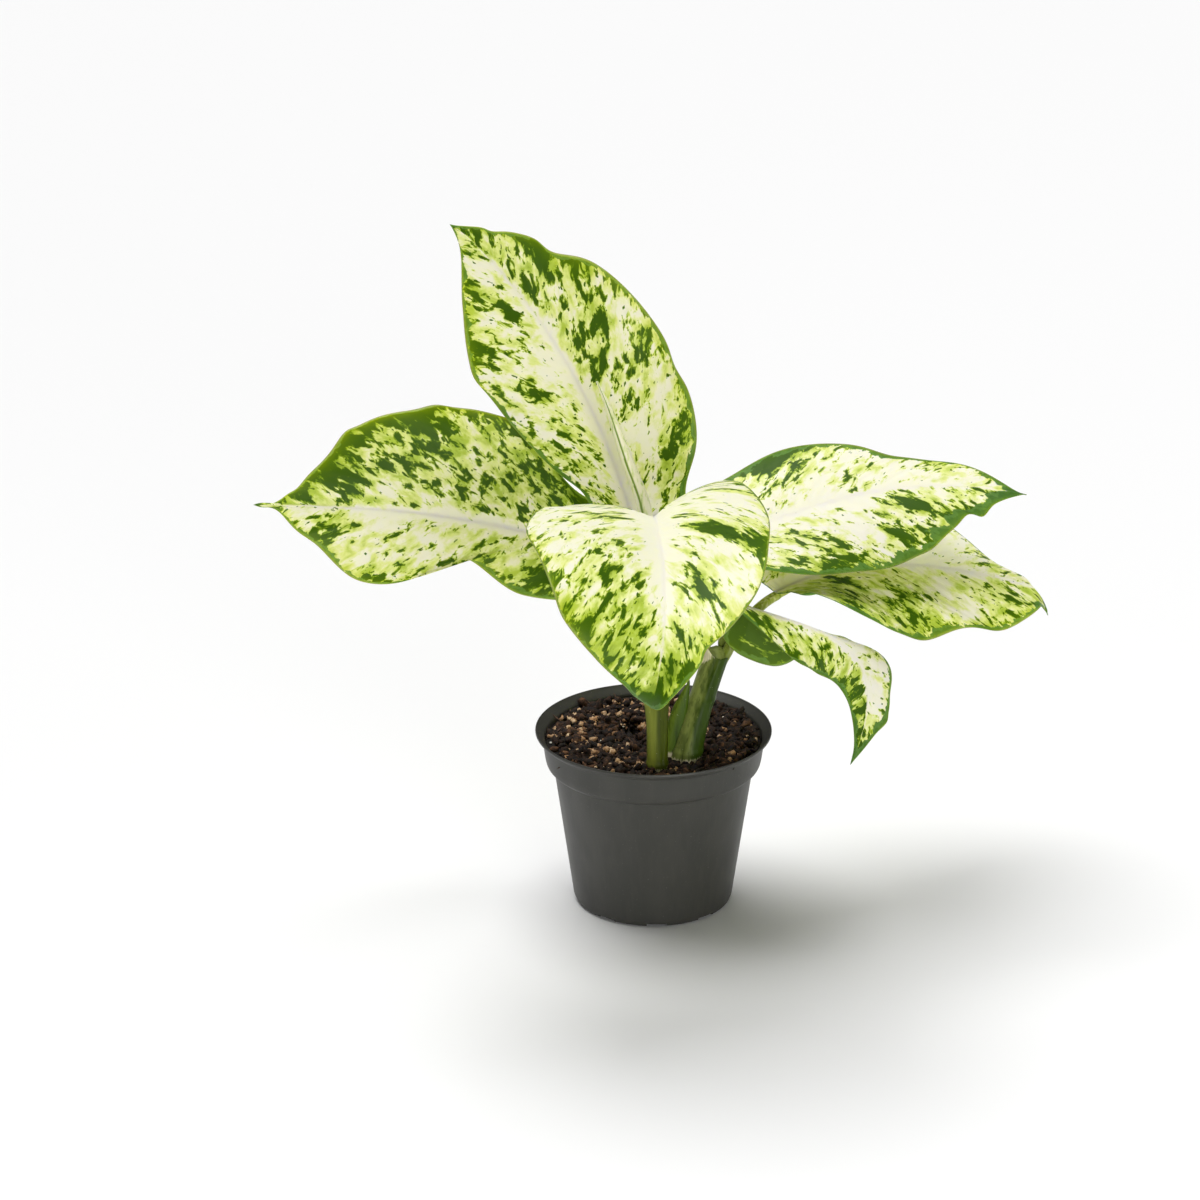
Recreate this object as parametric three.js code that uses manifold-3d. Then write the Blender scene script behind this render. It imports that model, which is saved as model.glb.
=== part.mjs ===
// A potted dieffenbachia: a 12 cm nursery pot of soil with two shoots that carry six variegated leaves
// and one new leaf that is still rolled up. Millimetres, +Z up. The origin is the middle of the pot's
// underside, -Y is the front of the plant and +X its right-hand side as seen from the front.

import * as THREE from 'three';
import Module from 'manifold-3d';

const wasm = await Module();
wasm.setup();

// ---- Driving dimensions -------------------------------------------------------------------------

const CLEARANCE = 0.3; // gap left between two pieces that touch

const POT = {
  height: 93,
  rimRadius: 60,
  shoulderHeight: 73, // where the wall steps out into the rim band
  shoulderRadius: 50.6,
  bandRadius: 54.9, // at the foot of the band, which flares a little towards the lip
  bandFlare: 1.5,
  footRadius: 40.5,
  wall: 1.2,
  floor: 3.2,
  gullies: 9, // drainage gullies in the underside
  gullyWidth: 10.5,
  gullyHeight: 2,
  gullyLength: 13,
  gullyTurn: 2.5, // degrees that the front gully lies round to the right
  drainRadius: 3,
  sides: 54,
};

const SOIL = {
  level: 87,
  slope: [0.02, 0.01], // rise per millimetre towards the right and towards the back
  crown: 1.2, // how much the middle stands above the edge
  relief: 1.3, // height of the lumps
  lump: 9, // size of one lump
  rings: 7,
  sides: 36,
};

// Stalks as sections from the root end up: [x, y, z, half width, half depth].
const STALKS = {
  stalk_front: {
    sections: [
      [1.5, -39, 46, 4.2, 4.2],
      [1.5, -38.5, 78, 5.4, 5.2],
      [1.4, -37.5, 92, 5.2, 5.0],
      [1.2, -35.5, 112, 5.4, 5.2],
      [0.2, -32.5, 131, 7.0, 6.4],
      [-1.4, -30, 148, 8.2, 8.0],
    ],
    colour: '#93a95f',
  },
  stalk_right: {
    sections: [
      [11, -34, 46, 4.5, 4.5],
      [13.5, -31.5, 78, 9.0, 6.6],
      [16, -29, 90, 7.8, 6.2],
      [20.5, -25, 108, 6.8, 6.4],
      [26, -19.5, 125, 6.6, 6.8],
      [31, -15, 139, 6.6, 7.4],
    ],
    colour: '#5d7a26',
  },
};

// An old leaf sheath, dried back to a point, that stands between the stalks.
const OLD_SHEATH = {
  sections: [
    [6.0, -28.5, 76, 3.6, 1.8],
    [7.0, -28, 86, 4.6, 2.2],
    [9.5, -27, 100, 5.2, 2.2],
    [13.0, -25.5, 115, 3.8, 1.7],
    [17.0, -24, 127, 0.8, 0.8],
  ],
  colour: '#3c5a1c',
};

// The rolled new leaf: [x, y, z, radius] from its foot to its tip.
const FURLED_LEAF = {
  sections: [
    [1.5, -26.5, 146, 2.6, 2.6],
    [0, -28.5, 185, 2.7, 2.7],
    [-5, -29, 222, 3.4, 3.2],
    [-13.5, -26, 246, 3.2, 3.0],
    [-22, -22.5, 270, 1.9, 1.8],
    [-28.5, -20, 285, 0.5, 0.5],
  ],
  colour: '#cfdc95',
};

// Half a blade is a fan of side veins. Station by station, from the leaf stalk to the tip, ALONG says how
// far along the leaf a side vein ends and ROOT how far along it leaves the midrib (1 is the leaf's length).
const ALONG = [0, -0.06, -0.045, 0.09, 0.26, 0.45, 0.64, 0.8, 0.92, 0.98, 1];
const ROOT = [0, 0.006, 0.02, 0.055, 0.135, 0.27, 0.45, 0.64, 0.81, 0.93, 1];

// One entry for each leaf. rib: the four control points of the midrib's curve. facing: the way the upper
// side looks. half: half widths at the nine stations between ALONG's ends. lobe and belly stretch the base
// lobes and move the widest place. roll turns the blade about its midrib, rise lifts each half and curl
// bends it, in degrees at the base, middle and tip (curl: base and tip). ruffle: the wave of each edge as
// height, number of waves and phase. bumps: where an edge stands out from its smooth outline or, below 0,
// draws in: [place from stalk to tip, amount, spread]. tail: how far the thin tip is bent away. foot and
// lean: where the leaf stalk leaves its stalk, and which way; reach: the length of the curve's handles at
// the foot and at the blade.
const LEAVES = {
  leaf_upright: {
    rib: [[-10, -16, 208], [-24, 4, 253], [-47, 10, 306], [-99, 24, 352]],
    facing: [0, -1, 0.4],
    half: { left: [9, 18, 27, 38, 43, 41, 26, 9, 2], right: [14, 30, 43, 49, 48, 40, 25, 10, 2] },
    lobe: -0.4,
    belly: 0.8,
    roll: [-5, -2, 0],
    rise: { left: [46, 28, 8], right: [36, 22, 8] },
    curl: { left: [-20, -15], right: [-20, -15] },
    ruffle: { left: [1.5, 3.5, 0.1], right: [2.2, 5, 0.3] },
    bumps: {
      left: [[0.31, -2.5, 0.03], [0.57, 1.5, 0.03]],
      right: [[0.26, -5, 0.05], [0.43, -2, 0.025], [0.665, -4.5, 0.03], [0.785, -1.5, 0.02]],
    },
    tail: [-2, 0, -0.5],
    foot: [-4, -24.5, 146],
    lean: [-0.05, 0.05, 1],
    reach: [25, 16],
    colour: '#c9d98a',
  },
  leaf_left: {
    rib: [[-28, -4, 190], [-81, -14, 211], [-121, -28, 223], [-196, -34, 226]],
    facing: [0, -1, 0.5],
    half: { left: [16, 25, 31, 22, 34.5, 35, 17.5, 3, 1], right: [10, 20, 37, 54, 52, 43, 19, 2.5, 1] },
    lobe: 0.4,
    belly: 0.65,
    roll: [0, 7, 0],
    rise: { left: [20, 13, 10], right: [20, 20, 9] },
    curl: { left: [-30, -15], right: [-30, -15] },
    ruffle: { left: [2, 4, 0.2], right: [2, 5, 0.5] },
    bumps: {
      left: [[0.43, -4, 0.06], [0.75, 2.5, 0.04]],
      right: [[0.265, -4, 0.035], [0.36, 3, 0.03], [0.49, 2, 0.025], [0.64, 3, 0.02], [0.745, -1.5, 0.02]],
    },
    tail: [-1, 0, 0],
    foot: [-4, -32, 124],
    lean: [-0.5, 0.05, 0.86],
    reach: [30, 16],
    colour: '#a9c35c',
  },
  leaf_front: {
    rib: [[-1, -48, 225], [3, -114, 238], [7, -186, 225], [-3, -184, 182]],
    facing: [0, -0.25, 1],
    half: { left: [18, 41, 53, 51, 45, 29, 18, 10, 6], right: [20, 45, 60, 66, 62, 50, 31, 15, 10] },
    lobe: 1.25,
    belly: 0.7,
    roll: [-6, 3, 3],
    rise: { left: [31, 28, 20], right: [25, 31, 17] },
    curl: { left: [-42, -15], right: [-34, -15] },
    ruffle: { left: [1.6, 4, 0.4], right: [1.6, 4, 0.1] },
    bumps: {
      left: [[0.63, -3, 0.03]],
      right: [[0.3, -2, 0.03], [0.4, 2.5, 0.05], [0.6, 1, 0.03]],
    },
    tail: [0, 5, -3],
    foot: [-0.5, -34, 146],
    lean: [0, 0.05, 1],
    reach: [45, 10],
    colour: '#d3dd99',
  },
  leaf_right_upper: {
    rib: [[33, 8, 190], [78, 22, 205], [122, 42, 217], [188, 42, 203]],
    facing: [0, -0.5, 1],
    half: { left: [14, 28, 36, 43, 35, 22, 16, 7, 1], right: [15, 33, 43, 47, 45, 37, 20, 8, 1] },
    lobe: 0.9,
    belly: 0.8,
    roll: [6, -2, 3],
    rise: { left: [18, 7, -2], right: [30, 5, 1] },
    curl: { left: [-23, -24], right: [-23, -26] },
    ruffle: { left: [1.2, 4, 0.3], right: [1.2, 5, 0.2] },
    bumps: {
      left: [[0.56, -2.5, 0.03]],
      right: [[0.6, 1.5, 0.03], [0.7, -2.5, 0.02], [0.745, 4, 0.02]],
    },
    tail: [1, 0, 0],
    foot: [1.5, -29, 133],
    lean: [0.4, 0.4, 0.82],
    reach: [28, 16],
    colour: '#c9d98a',
  },
  leaf_right_lower: {
    rib: [[61, 1, 166], [99, 31, 178], [156, 24, 173.5], [202, 50, 146]],
    facing: [0, -0.5, 1],
    half: { left: [16, 35, 45, 47, 44, 31, 18, 10, 6], right: [17, 36, 47, 48, 39, 34, 24, 11, 2] },
    lobe: 0.2,
    belly: 0.55,
    roll: [14, 0, 11],
    rise: { left: [21, 5, -13], right: [35, 8, -2] },
    curl: { left: [-23, -26], right: [-22, -26] },
    ruffle: { left: [1.5, 4, 0.1], right: [2, 5, 0.6] },
    bumps: {
      left: [[0.57, -1.5, 0.03]],
      right: [[0.33, 1, 0.03]],
    },
    tail: [0.5, 0, -12],
    foot: [34, -18.5, 134],
    lean: [0.25, 0.25, 0.93],
    reach: [16, 14],
    colour: '#b4cb62',
  },
  leaf_drooping: {
    rib: [[48, -24, 168], [95, -44, 160], [118, -38, 149], [99, -34, 87]],
    facing: [0.3, -0.7, 0.6],
    half: { left: [10, 22, 29, 28, 21, 21, 13, 5, 1], right: [7, 14, 19, 21, 18, 14, 8, 3, 1] },
    lobe: 1.2,
    belly: 0.95,
    roll: [48, 4, -3],
    rise: { left: [-78, -25, 3], right: [8, -12, 1] },
    curl: { left: [-45, -20], right: [-24, -20] },
    ruffle: { left: [1.2, 3, 0.2], right: [1, 3, 0.5] },
    bumps: {
      left: [[0.34, 4, 0.06], [0.5, -8, 0.07], [0.66, -2.5, 0.03], [0.735, 2, 0.02]],
      right: [[0.42, -1, 0.03]],
    },
    tail: [-1, 0, 0],
    foot: [34, -11, 134],
    lean: [0.05, 0.25, 0.96],
    reach: [20, 12],
    colour: '#b9cf74',
  },
};

const BLADE = {
  thickness: 0.8,
  stations: 27, // side veins in each half, both poles included
  steps: 5, // points along one side vein
  fan: 1.5, // how strongly the side veins sweep towards the tip
  tailStart: 0.94, // where along the blade the thin tip starts
};

const LEAF_STALK = {
  footRadius: 2.8,
  bladeRadius: 2.5,
  tipRadius: 0.35,
  sides: 8,
  steps: 10, // rings from the foot to the blade
  ribSteps: 12, // rings under the blade
  ribEnd: 0.9, // how far along the blade the raised midrib runs
  sink: 0.75, // how far the midrib hangs under the blade, in its own radii
};

const STALK_SIDES = 16;
const STALK_RINGS = 14;

const FINISH = {
  pot: { color: '#4b4b47', roughness: 0.55 },
  soil: { color: '#2e2219', roughness: 0.95 },
  plant: { roughness: 0.45 },
};

// ---- Solids from triangles ----------------------------------------------------------------------

function solidFrom(points, triangles) {
  return new wasm.Manifold(new wasm.Mesh({
    numProp: 3,
    vertProperties: new Float32Array(points.flatMap((p) => [p.x, p.y, p.z])),
    triVerts: new Uint32Array(triangles),
  }));
}

// A geometry of the library as a solid: vertices in one place become one vertex.
function solidFromGeometry(geometry) {
  const position = geometry.getAttribute('position');
  const index = geometry.getIndex();
  const count = index ? index.count : position.count;
  const seen = new Map();
  const points = [];
  const corners = [];
  for (let i = 0; i < count; i += 1) {
    const point = new THREE.Vector3().fromBufferAttribute(position, index ? index.getX(i) : i);
    const key = point.toArray().map((value) => Math.round(value * 1e4)).join(',');
    if (!seen.has(key)) {
      seen.set(key, points.length);
      points.push(point);
    }
    corners.push(seen.get(key));
  }
  const triangles = [];
  for (let i = 0; i < corners.length; i += 3) {
    const [a, b, c] = corners.slice(i, i + 3);
    if (a !== b && b !== c && c !== a) {
      triangles.push(a, b, c);
    }
  }
  return solidFrom(points, triangles);
}

// The largest body of a solid, so that no crumb of a cut is left beside it.
function mainBody(solid) {
  return solid.decompose().sort((a, b) => b.volume() - a.volume())[0];
}

function meshFrom(name, solid, finish) {
  const { vertProperties, triVerts } = mainBody(solid).getMesh();
  const indexed = new THREE.BufferGeometry();
  indexed.setAttribute('position', new THREE.BufferAttribute(vertProperties, 3));
  indexed.setIndex(new THREE.BufferAttribute(triVerts, 1));
  const geometry = indexed.toNonIndexed();
  geometry.computeVertexNormals();
  const mesh = new THREE.Mesh(geometry, new THREE.MeshStandardMaterial({ metalness: 0, ...finish }));
  mesh.name = name;
  return mesh;
}

// A closed body through rings of equal point count. Each ring turns the same way round.
function loft(rings) {
  const sides = rings[0].length;
  const points = rings.flat();
  const triangles = [];
  for (let ring = 0; ring < rings.length - 1; ring += 1) {
    for (let side = 0; side < sides; side += 1) {
      const next = (side + 1) % sides;
      const a = ring * sides + side;
      const b = ring * sides + next;
      triangles.push(a, b, b + sides, a, b + sides, a + sides);
    }
  }
  for (const [ring, forward] of [[0, false], [rings.length - 1, true]]) {
    const middle = new THREE.Vector3();
    rings[ring].forEach((point) => middle.add(point));
    points.push(middle.divideScalar(sides));
    for (let side = 0; side < sides; side += 1) {
      const a = ring * sides + side;
      const b = ring * sides + ((side + 1) % sides);
      triangles.push(...(forward ? [a, b, points.length - 1] : [b, a, points.length - 1]));
    }
  }
  return solidFrom(points, triangles);
}

// ---- Curves -------------------------------------------------------------------------------------

// A smooth value through evenly spaced stations; t runs from 0 to 1.
function splined(values, t) {
  const spans = values.length - 1;
  const place = THREE.MathUtils.clamp(t, 0, 1) * spans;
  const i = Math.min(Math.floor(place), spans - 1);
  const w = place - i;
  const at = (k) => {
    if (k < 0) {
      return 2 * values[0] - values[1];
    }
    return k > spans ? 2 * values[spans] - values[spans - 1] : values[k];
  };
  const [p0, p1, p2, p3] = [at(i - 1), at(i), at(i + 1), at(i + 2)];
  const v0 = (p2 - p0) / 2;
  const v1 = (p3 - p1) / 2;
  return (2 * p1 - 2 * p2 + v0 + v1) * w ** 3 + (3 * p2 - 3 * p1 - 2 * v0 - v1) * w ** 2 + v0 * w + p1;
}

// The parabola through a value at the base, one in the middle and one at the tip.
function threePoint([base, middle, tip], t) {
  const s = THREE.MathUtils.clamp(t, 0, 1);
  return base * (1 - s) * (1 - 2 * s) + 4 * middle * s * (1 - s) + tip * s * (2 * s - 1);
}

function bezier(points) {
  return new THREE.CubicBezierCurve3(...points.map((p) => new THREE.Vector3(...p)));
}

// Sections [x, y, z, half width, half depth] as a smooth run of upright-minded elliptic rings.
function sectionRings(sections, ringCount, sides, grow = 0) {
  const column = (k) => sections.map((section) => section[k]);
  const rings = [];
  for (let ring = 0; ring < ringCount; ring += 1) {
    const t = ring / (ringCount - 1);
    const [x, y, z, width, depth] = [0, 1, 2, 3, 4].map((k) => splined(column(k), t));
    rings.push(Array.from({ length: sides }, (_, side) => {
      const angle = (2 * Math.PI * side) / sides;
      return new THREE.Vector3(
        x + (width + grow) * Math.cos(angle),
        y + (depth + grow) * Math.sin(angle),
        z,
      );
    }));
  }
  return rings;
}

function stalkSolid(sections, grow = 0) {
  const rings = sectionRings(sections, STALK_RINGS, STALK_SIDES, grow);
  rings[0].forEach((point) => point.setZ(point.z - grow));
  rings.at(-1).forEach((point) => point.setZ(point.z + grow));
  return loft(rings);
}

// ---- Leaves -------------------------------------------------------------------------------------

// A point of the blade. q runs along the edge from stalk to tip, u along a side vein from midrib to edge.
function bladePoint(leaf, rib, q, u, side) {
  const half = [0, ...leaf.half[side], 0];
  const along = ALONG.map((a) => (a > 0 ? a ** leaf.belly : a * leaf.lobe));
  const width = leaf.bumps[side].reduce(
    (sum, [place, amount, spread]) => sum + amount * Math.exp(-(((q - place) / spread) ** 2)),
    splined(half, q),
  );
  const across = u * Math.max(width, 0);
  const root = splined(ROOT, q);
  const t = root + (splined(along, q) - root) * u ** BLADE.fan;
  const s = THREE.MathUtils.clamp(t, 0, 1);
  const tangent = rib.getTangent(s);
  const tail = THREE.MathUtils.clamp((s - BLADE.tailStart) / (1 - BLADE.tailStart), 0, 1) ** 2;
  const centre = rib.getPoint(s)
    .addScaledVector(rib.v1.clone().sub(rib.v0), 3 * (t - s))
    .addScaledVector(new THREE.Vector3(...leaf.tail), tail);
  const outward = tangent.clone().cross(new THREE.Vector3(...leaf.facing)).normalize();
  const upward = outward.clone().cross(tangent);
  const roll = THREE.MathUtils.degToRad(threePoint(leaf.roll, s));
  outward.applyAxisAngle(tangent, -roll);
  upward.applyAxisAngle(tangent, -roll);
  const bend = leaf.curl[side][0] * (1 - s) + leaf.curl[side][1] * s;
  const tilt = threePoint(leaf.rise[side], s) + (bend * across) / Math.max(...leaf.half[side]) / 2;
  const angle = THREE.MathUtils.degToRad(tilt);
  const [height, waves, phase] = leaf.ruffle[side];
  const wave = height * Math.sin(2 * Math.PI * (waves * q + phase)) * Math.sin(Math.PI * q) * u ** 2;
  return centre
    .addScaledVector(outward, (side === 'right' ? 1 : -1) * across * Math.cos(angle))
    .addScaledVector(upward, across * Math.sin(angle) + wave);
}

// The blade's middle surface as a net: one row for each side vein, from the left edge to the right edge.
function bladeNet(leaf, rib) {
  const rows = [];
  for (let station = 0; station < BLADE.stations; station += 1) {
    const q = station / (BLADE.stations - 1);
    const row = [];
    for (let step = -BLADE.steps; step <= BLADE.steps; step += 1) {
      row.push(bladePoint(leaf, rib, q, Math.abs(step) / BLADE.steps, step < 0 ? 'left' : 'right'));
    }
    rows.push(row);
  }
  return rows;
}

// The net made solid: the same triangles on the upper and the lower face, joined round the edge.
function bladeSolid(leaf, rib) {
  const rows = bladeNet(leaf, rib);
  const width = 2 * BLADE.steps + 1;
  const last = rows.length - 1;
  const middle = [rows[0][0], ...rows.slice(1, last).flat(), rows[last][0]];
  const at = (row, column) => {
    if (row === 0) {
      return 0;
    }
    return row === last ? middle.length - 1 : 1 + (row - 1) * width + column;
  };
  const faces = [];
  for (let row = 0; row < last; row += 1) {
    for (let column = 0; column < width - 1; column += 1) {
      const [a, b, c, d] = [at(row, column), at(row, column + 1), at(row + 1, column + 1), at(row + 1, column)];
      if (row === 0) {
        faces.push([a, c, d]);
      } else if (row === last - 1) {
        faces.push([a, b, c]);
      } else if (column < BLADE.steps) {
        faces.push([a, b, c], [a, c, d]);
      } else {
        faces.push([a, b, d], [b, c, d]);
      }
    }
  }
  const normals = middle.map(() => new THREE.Vector3());
  for (const face of faces) {
    const [a, b, c] = face.map((i) => middle[i]);
    const normal = b.clone().sub(a).cross(c.clone().sub(a));
    face.forEach((i) => normals[i].add(normal));
  }
  normals.forEach((normal) => normal.normalize());
  const shift = (sign) => middle.map((p, i) => p.clone().addScaledVector(normals[i], sign * BLADE.thickness / 2));
  const points = [...shift(1), ...shift(-1)];
  const below = middle.length;
  const triangles = faces.flatMap(([a, b, c]) => [a, b, c, a + below, c + below, b + below]);
  for (let row = 0; row < last; row += 1) {
    for (const column of [0, width - 1]) {
      const [a, b] = column === 0 ? [at(row + 1, 0), at(row, 0)] : [at(row, column), at(row + 1, column)];
      triangles.push(a, a + below, b + below, a, b + below, b);
    }
  }
  return solidFrom(points, triangles);
}

// A tube of changing radius: places along it, each with its middle, direction and radius.
function tube(places, sides) {
  let across = new THREE.Vector3(1, 0, 0);
  const rings = places.map(({ middle, direction, radius }) => {
    across = across.addScaledVector(direction, -across.dot(direction)).normalize();
    const third = direction.clone().cross(across);
    return Array.from({ length: sides }, (_, side) => {
      const angle = (2 * Math.PI * side) / sides;
      return middle.clone()
        .addScaledVector(across, radius * Math.cos(angle))
        .addScaledVector(third, radius * Math.sin(angle));
    });
  });
  return loft(rings);
}

// The leaf's own stalk from its foot to the blade, and on under the blade as the raised midrib.
function leafStalk(leaf, rib) {
  const foot = new THREE.Vector3(...leaf.foot);
  const base = rib.getPoint(0);
  const start = rib.getTangent(0);
  const curve = new THREE.CubicBezierCurve3(
    foot,
    foot.clone().addScaledVector(new THREE.Vector3(...leaf.lean).normalize(), leaf.reach[0]),
    base.clone().addScaledVector(start, -leaf.reach[1]),
    base,
  );
  const sinkAt = (t) => {
    const tangent = rib.getTangent(t);
    const outward = tangent.clone().cross(new THREE.Vector3(...leaf.facing)).normalize();
    return outward.cross(tangent).applyAxisAngle(tangent, -THREE.MathUtils.degToRad(threePoint(leaf.roll, t)));
  };
  const places = [];
  for (let step = 0; step < LEAF_STALK.steps; step += 1) {
    const t = step / LEAF_STALK.steps;
    const radius = THREE.MathUtils.lerp(LEAF_STALK.footRadius, LEAF_STALK.bladeRadius, t);
    const middle = curve.getPoint(t).addScaledVector(sinkAt(0), -t * t * LEAF_STALK.sink * radius);
    places.push({ middle, direction: curve.getTangent(t), radius });
  }
  for (let step = 0; step <= LEAF_STALK.ribSteps; step += 1) {
    const t = (step / LEAF_STALK.ribSteps) * LEAF_STALK.ribEnd;
    const radius = THREE.MathUtils.lerp(LEAF_STALK.bladeRadius, LEAF_STALK.tipRadius, Math.sqrt(t));
    const middle = rib.getPoint(t).addScaledVector(sinkAt(t), -LEAF_STALK.sink * radius);
    places.push({ middle, direction: rib.getTangent(t), radius });
  }
  return tube(places, LEAF_STALK.sides);
}

function leafSolid(leaf) {
  const rib = bezier(leaf.rib);
  return bladeSolid(leaf, rib).add(leafStalk(leaf, rib));
}

// ---- Pot and soil -------------------------------------------------------------------------------

// The inside of the pot, from the floor up: [radius, height].
function potInside() {
  const inner = POT.wall;
  return [
    [POT.footRadius - inner, POT.floor],
    [POT.shoulderRadius - inner, POT.shoulderHeight + 1.4],
    [POT.bandRadius - inner - 0.6, POT.shoulderHeight + 4],
    [POT.bandRadius + POT.bandFlare - inner, POT.height - 4.5],
    [POT.rimRadius - inner, POT.height - 1],
  ];
}

function potSolid() {
  const outside = [
    [0, 0],
    [POT.footRadius - 2.6, 0],
    [POT.footRadius - 1, 0.8],
    [POT.footRadius, 3],
    [POT.shoulderRadius, POT.shoulderHeight],
    [POT.bandRadius - 2.4, POT.shoulderHeight + 0.3],
    [POT.bandRadius - 0.7, POT.shoulderHeight + 2],
    [POT.bandRadius, POT.shoulderHeight + 5],
    [POT.bandRadius + POT.bandFlare, POT.height - 4.5],
    [POT.rimRadius - 0.4, POT.height - 2],
    [POT.rimRadius, POT.height - 1],
    [POT.rimRadius - 0.5, POT.height],
  ];
  const profile = [...outside, ...potInside().reverse(), [0, POT.floor]].map(([r, z]) => new THREE.Vector2(r, z));
  const turned = new THREE.LatheGeometry(profile, POT.sides);
  turned.rotateX(Math.PI / 2);
  let pot = solidFromGeometry(turned);
  for (let k = 0; k < POT.gullies; k += 1) {
    const angle = THREE.MathUtils.degToRad(POT.gullyTurn - 90 + (360 * k) / POT.gullies);
    pot = pot.subtract(gullySolid(angle)).subtract(drainSolid(angle));
  }
  return pot;
}

// One gully: a round-ended slot that runs in from the edge of the underside.
function gullySolid(angle) {
  const radius = POT.gullyWidth / 2;
  const outer = POT.footRadius + 4;
  const inner = POT.footRadius - POT.gullyLength + radius;
  const outline = new THREE.Shape();
  outline.moveTo(outer, -radius);
  outline.lineTo(outer, radius);
  outline.lineTo(inner, radius);
  outline.absarc(inner, 0, radius, Math.PI / 2, Math.PI * 1.5, false);
  const slot = new THREE.ExtrudeGeometry(outline, { depth: POT.gullyHeight + 1, bevelEnabled: false, curveSegments: 10 });
  slot.translate(0, 0, -1);
  slot.rotateZ(angle);
  return solidFromGeometry(slot);
}

function drainSolid(angle) {
  const place = POT.footRadius - POT.gullyLength + POT.gullyWidth / 2;
  const drain = new THREE.CylinderGeometry(POT.drainRadius, POT.drainRadius, 2 * POT.floor + 2, 16);
  drain.rotateX(Math.PI / 2);
  drain.translate(place * Math.cos(angle), place * Math.sin(angle), 0);
  return solidFromGeometry(drain);
}

// A repeatable value from -1 to 1 for a whole-numbered place.
function scatter(i, j) {
  const value = Math.sin(i * 127.1 + j * 311.7) * 43758.5453;
  return 2 * (value - Math.floor(value)) - 1;
}

// Soft lumps: scattered heights on a square grid, blended between the grid's points.
function lumps(x, y) {
  const [i, j] = [Math.floor(x / SOIL.lump), Math.floor(y / SOIL.lump)];
  const [u, v] = [x / SOIL.lump - i, y / SOIL.lump - j].map((w) => w * w * (3 - 2 * w));
  const low = THREE.MathUtils.lerp(scatter(i, j), scatter(i + 1, j), u);
  const high = THREE.MathUtils.lerp(scatter(i, j + 1), scatter(i + 1, j + 1), u);
  return THREE.MathUtils.lerp(low, high, v);
}

// The soil fills the pot to its level. Its top is lumpy; the stalks stand in plain holes.
function soilSolid(holes) {
  const wall = potInside();
  const edge = wall.slice(0, 3).map(([radius, z]) => [radius - CLEARANCE, z + CLEARANCE]);
  const rings = edge.map(([radius, z]) => Array.from({ length: SOIL.sides }, (_, side) => {
    const angle = (2 * Math.PI * side) / SOIL.sides;
    return new THREE.Vector3(radius * Math.cos(angle), radius * Math.sin(angle), z);
  }));
  const lowest = SOIL.level - Math.hypot(...SOIL.slope) * POT.bandRadius;
  const topRadius = THREE.MathUtils.mapLinear(lowest, wall[2][1], wall[3][1], wall[2][0], wall[3][0]) - CLEARANCE;
  for (let ring = 0; ring < SOIL.rings; ring += 1) {
    const radius = topRadius * (1 - ring / SOIL.rings);
    rings.push(Array.from({ length: SOIL.sides }, (_, side) => {
      const angle = (2 * Math.PI * side) / SOIL.sides;
      const [x, y] = [radius * Math.cos(angle), radius * Math.sin(angle)];
      const sloped = SOIL.level + SOIL.slope[0] * x + SOIL.slope[1] * y;
      const crown = (SOIL.crown * ring) / SOIL.rings;
      return new THREE.Vector3(x, y, sloped + crown + SOIL.relief * (ring > 0 ? lumps(x, y) : 0));
    }));
  }
  return holes.reduce((soil, hole) => soil.subtract(hole), loft(rings));
}

// ---- The plant ----------------------------------------------------------------------------------

const plantFinish = (colour) => ({ ...FINISH.plant, color: colour });
const stalks = Object.values(STALKS).map(({ sections }) => stalkSolid(sections));
const seats = Object.values(STALKS).map(({ sections }) => stalkSolid(sections, CLEARANCE));
const seated = (solid) => seats.reduce((rest, seat) => rest.subtract(seat), solid);
const sheathHole = stalkSolid(OLD_SHEATH.sections, CLEARANCE);

const plant = new THREE.Group();
plant.name = 'potted_dieffenbachia';
plant.add(meshFrom('pot', potSolid(), FINISH.pot));
plant.add(meshFrom('soil', soilSolid([...seats, sheathHole]), FINISH.soil));
plant.add(meshFrom('stalk_front', stalks[0], plantFinish(STALKS.stalk_front.colour)));
plant.add(meshFrom('stalk_right', stalks[1].subtract(seats[0]), plantFinish(STALKS.stalk_right.colour)));
plant.add(meshFrom('old_sheath', seated(stalkSolid(OLD_SHEATH.sections)), plantFinish(OLD_SHEATH.colour)));
plant.add(meshFrom('furled_leaf', seated(stalkSolid(FURLED_LEAF.sections)), plantFinish(FURLED_LEAF.colour)));
for (const [name, leaf] of Object.entries(LEAVES)) {
  plant.add(meshFrom(name, seated(leafSolid(leaf)), plantFinish(leaf.colour)));
}

export default plant;
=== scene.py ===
"""Looks of a potted dieffenbachia: six variegated leaves and one rolled leaf on two stalks, in a nursery pot.

Shapes are worked out in millimetres, in the frame of the CAD model: +Z up, -Y towards the front, the origin
in the middle of the pot's underside. They become metres only when a mesh is made.
"""

import logging
import math
from dataclasses import dataclass
from enum import Enum

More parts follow.
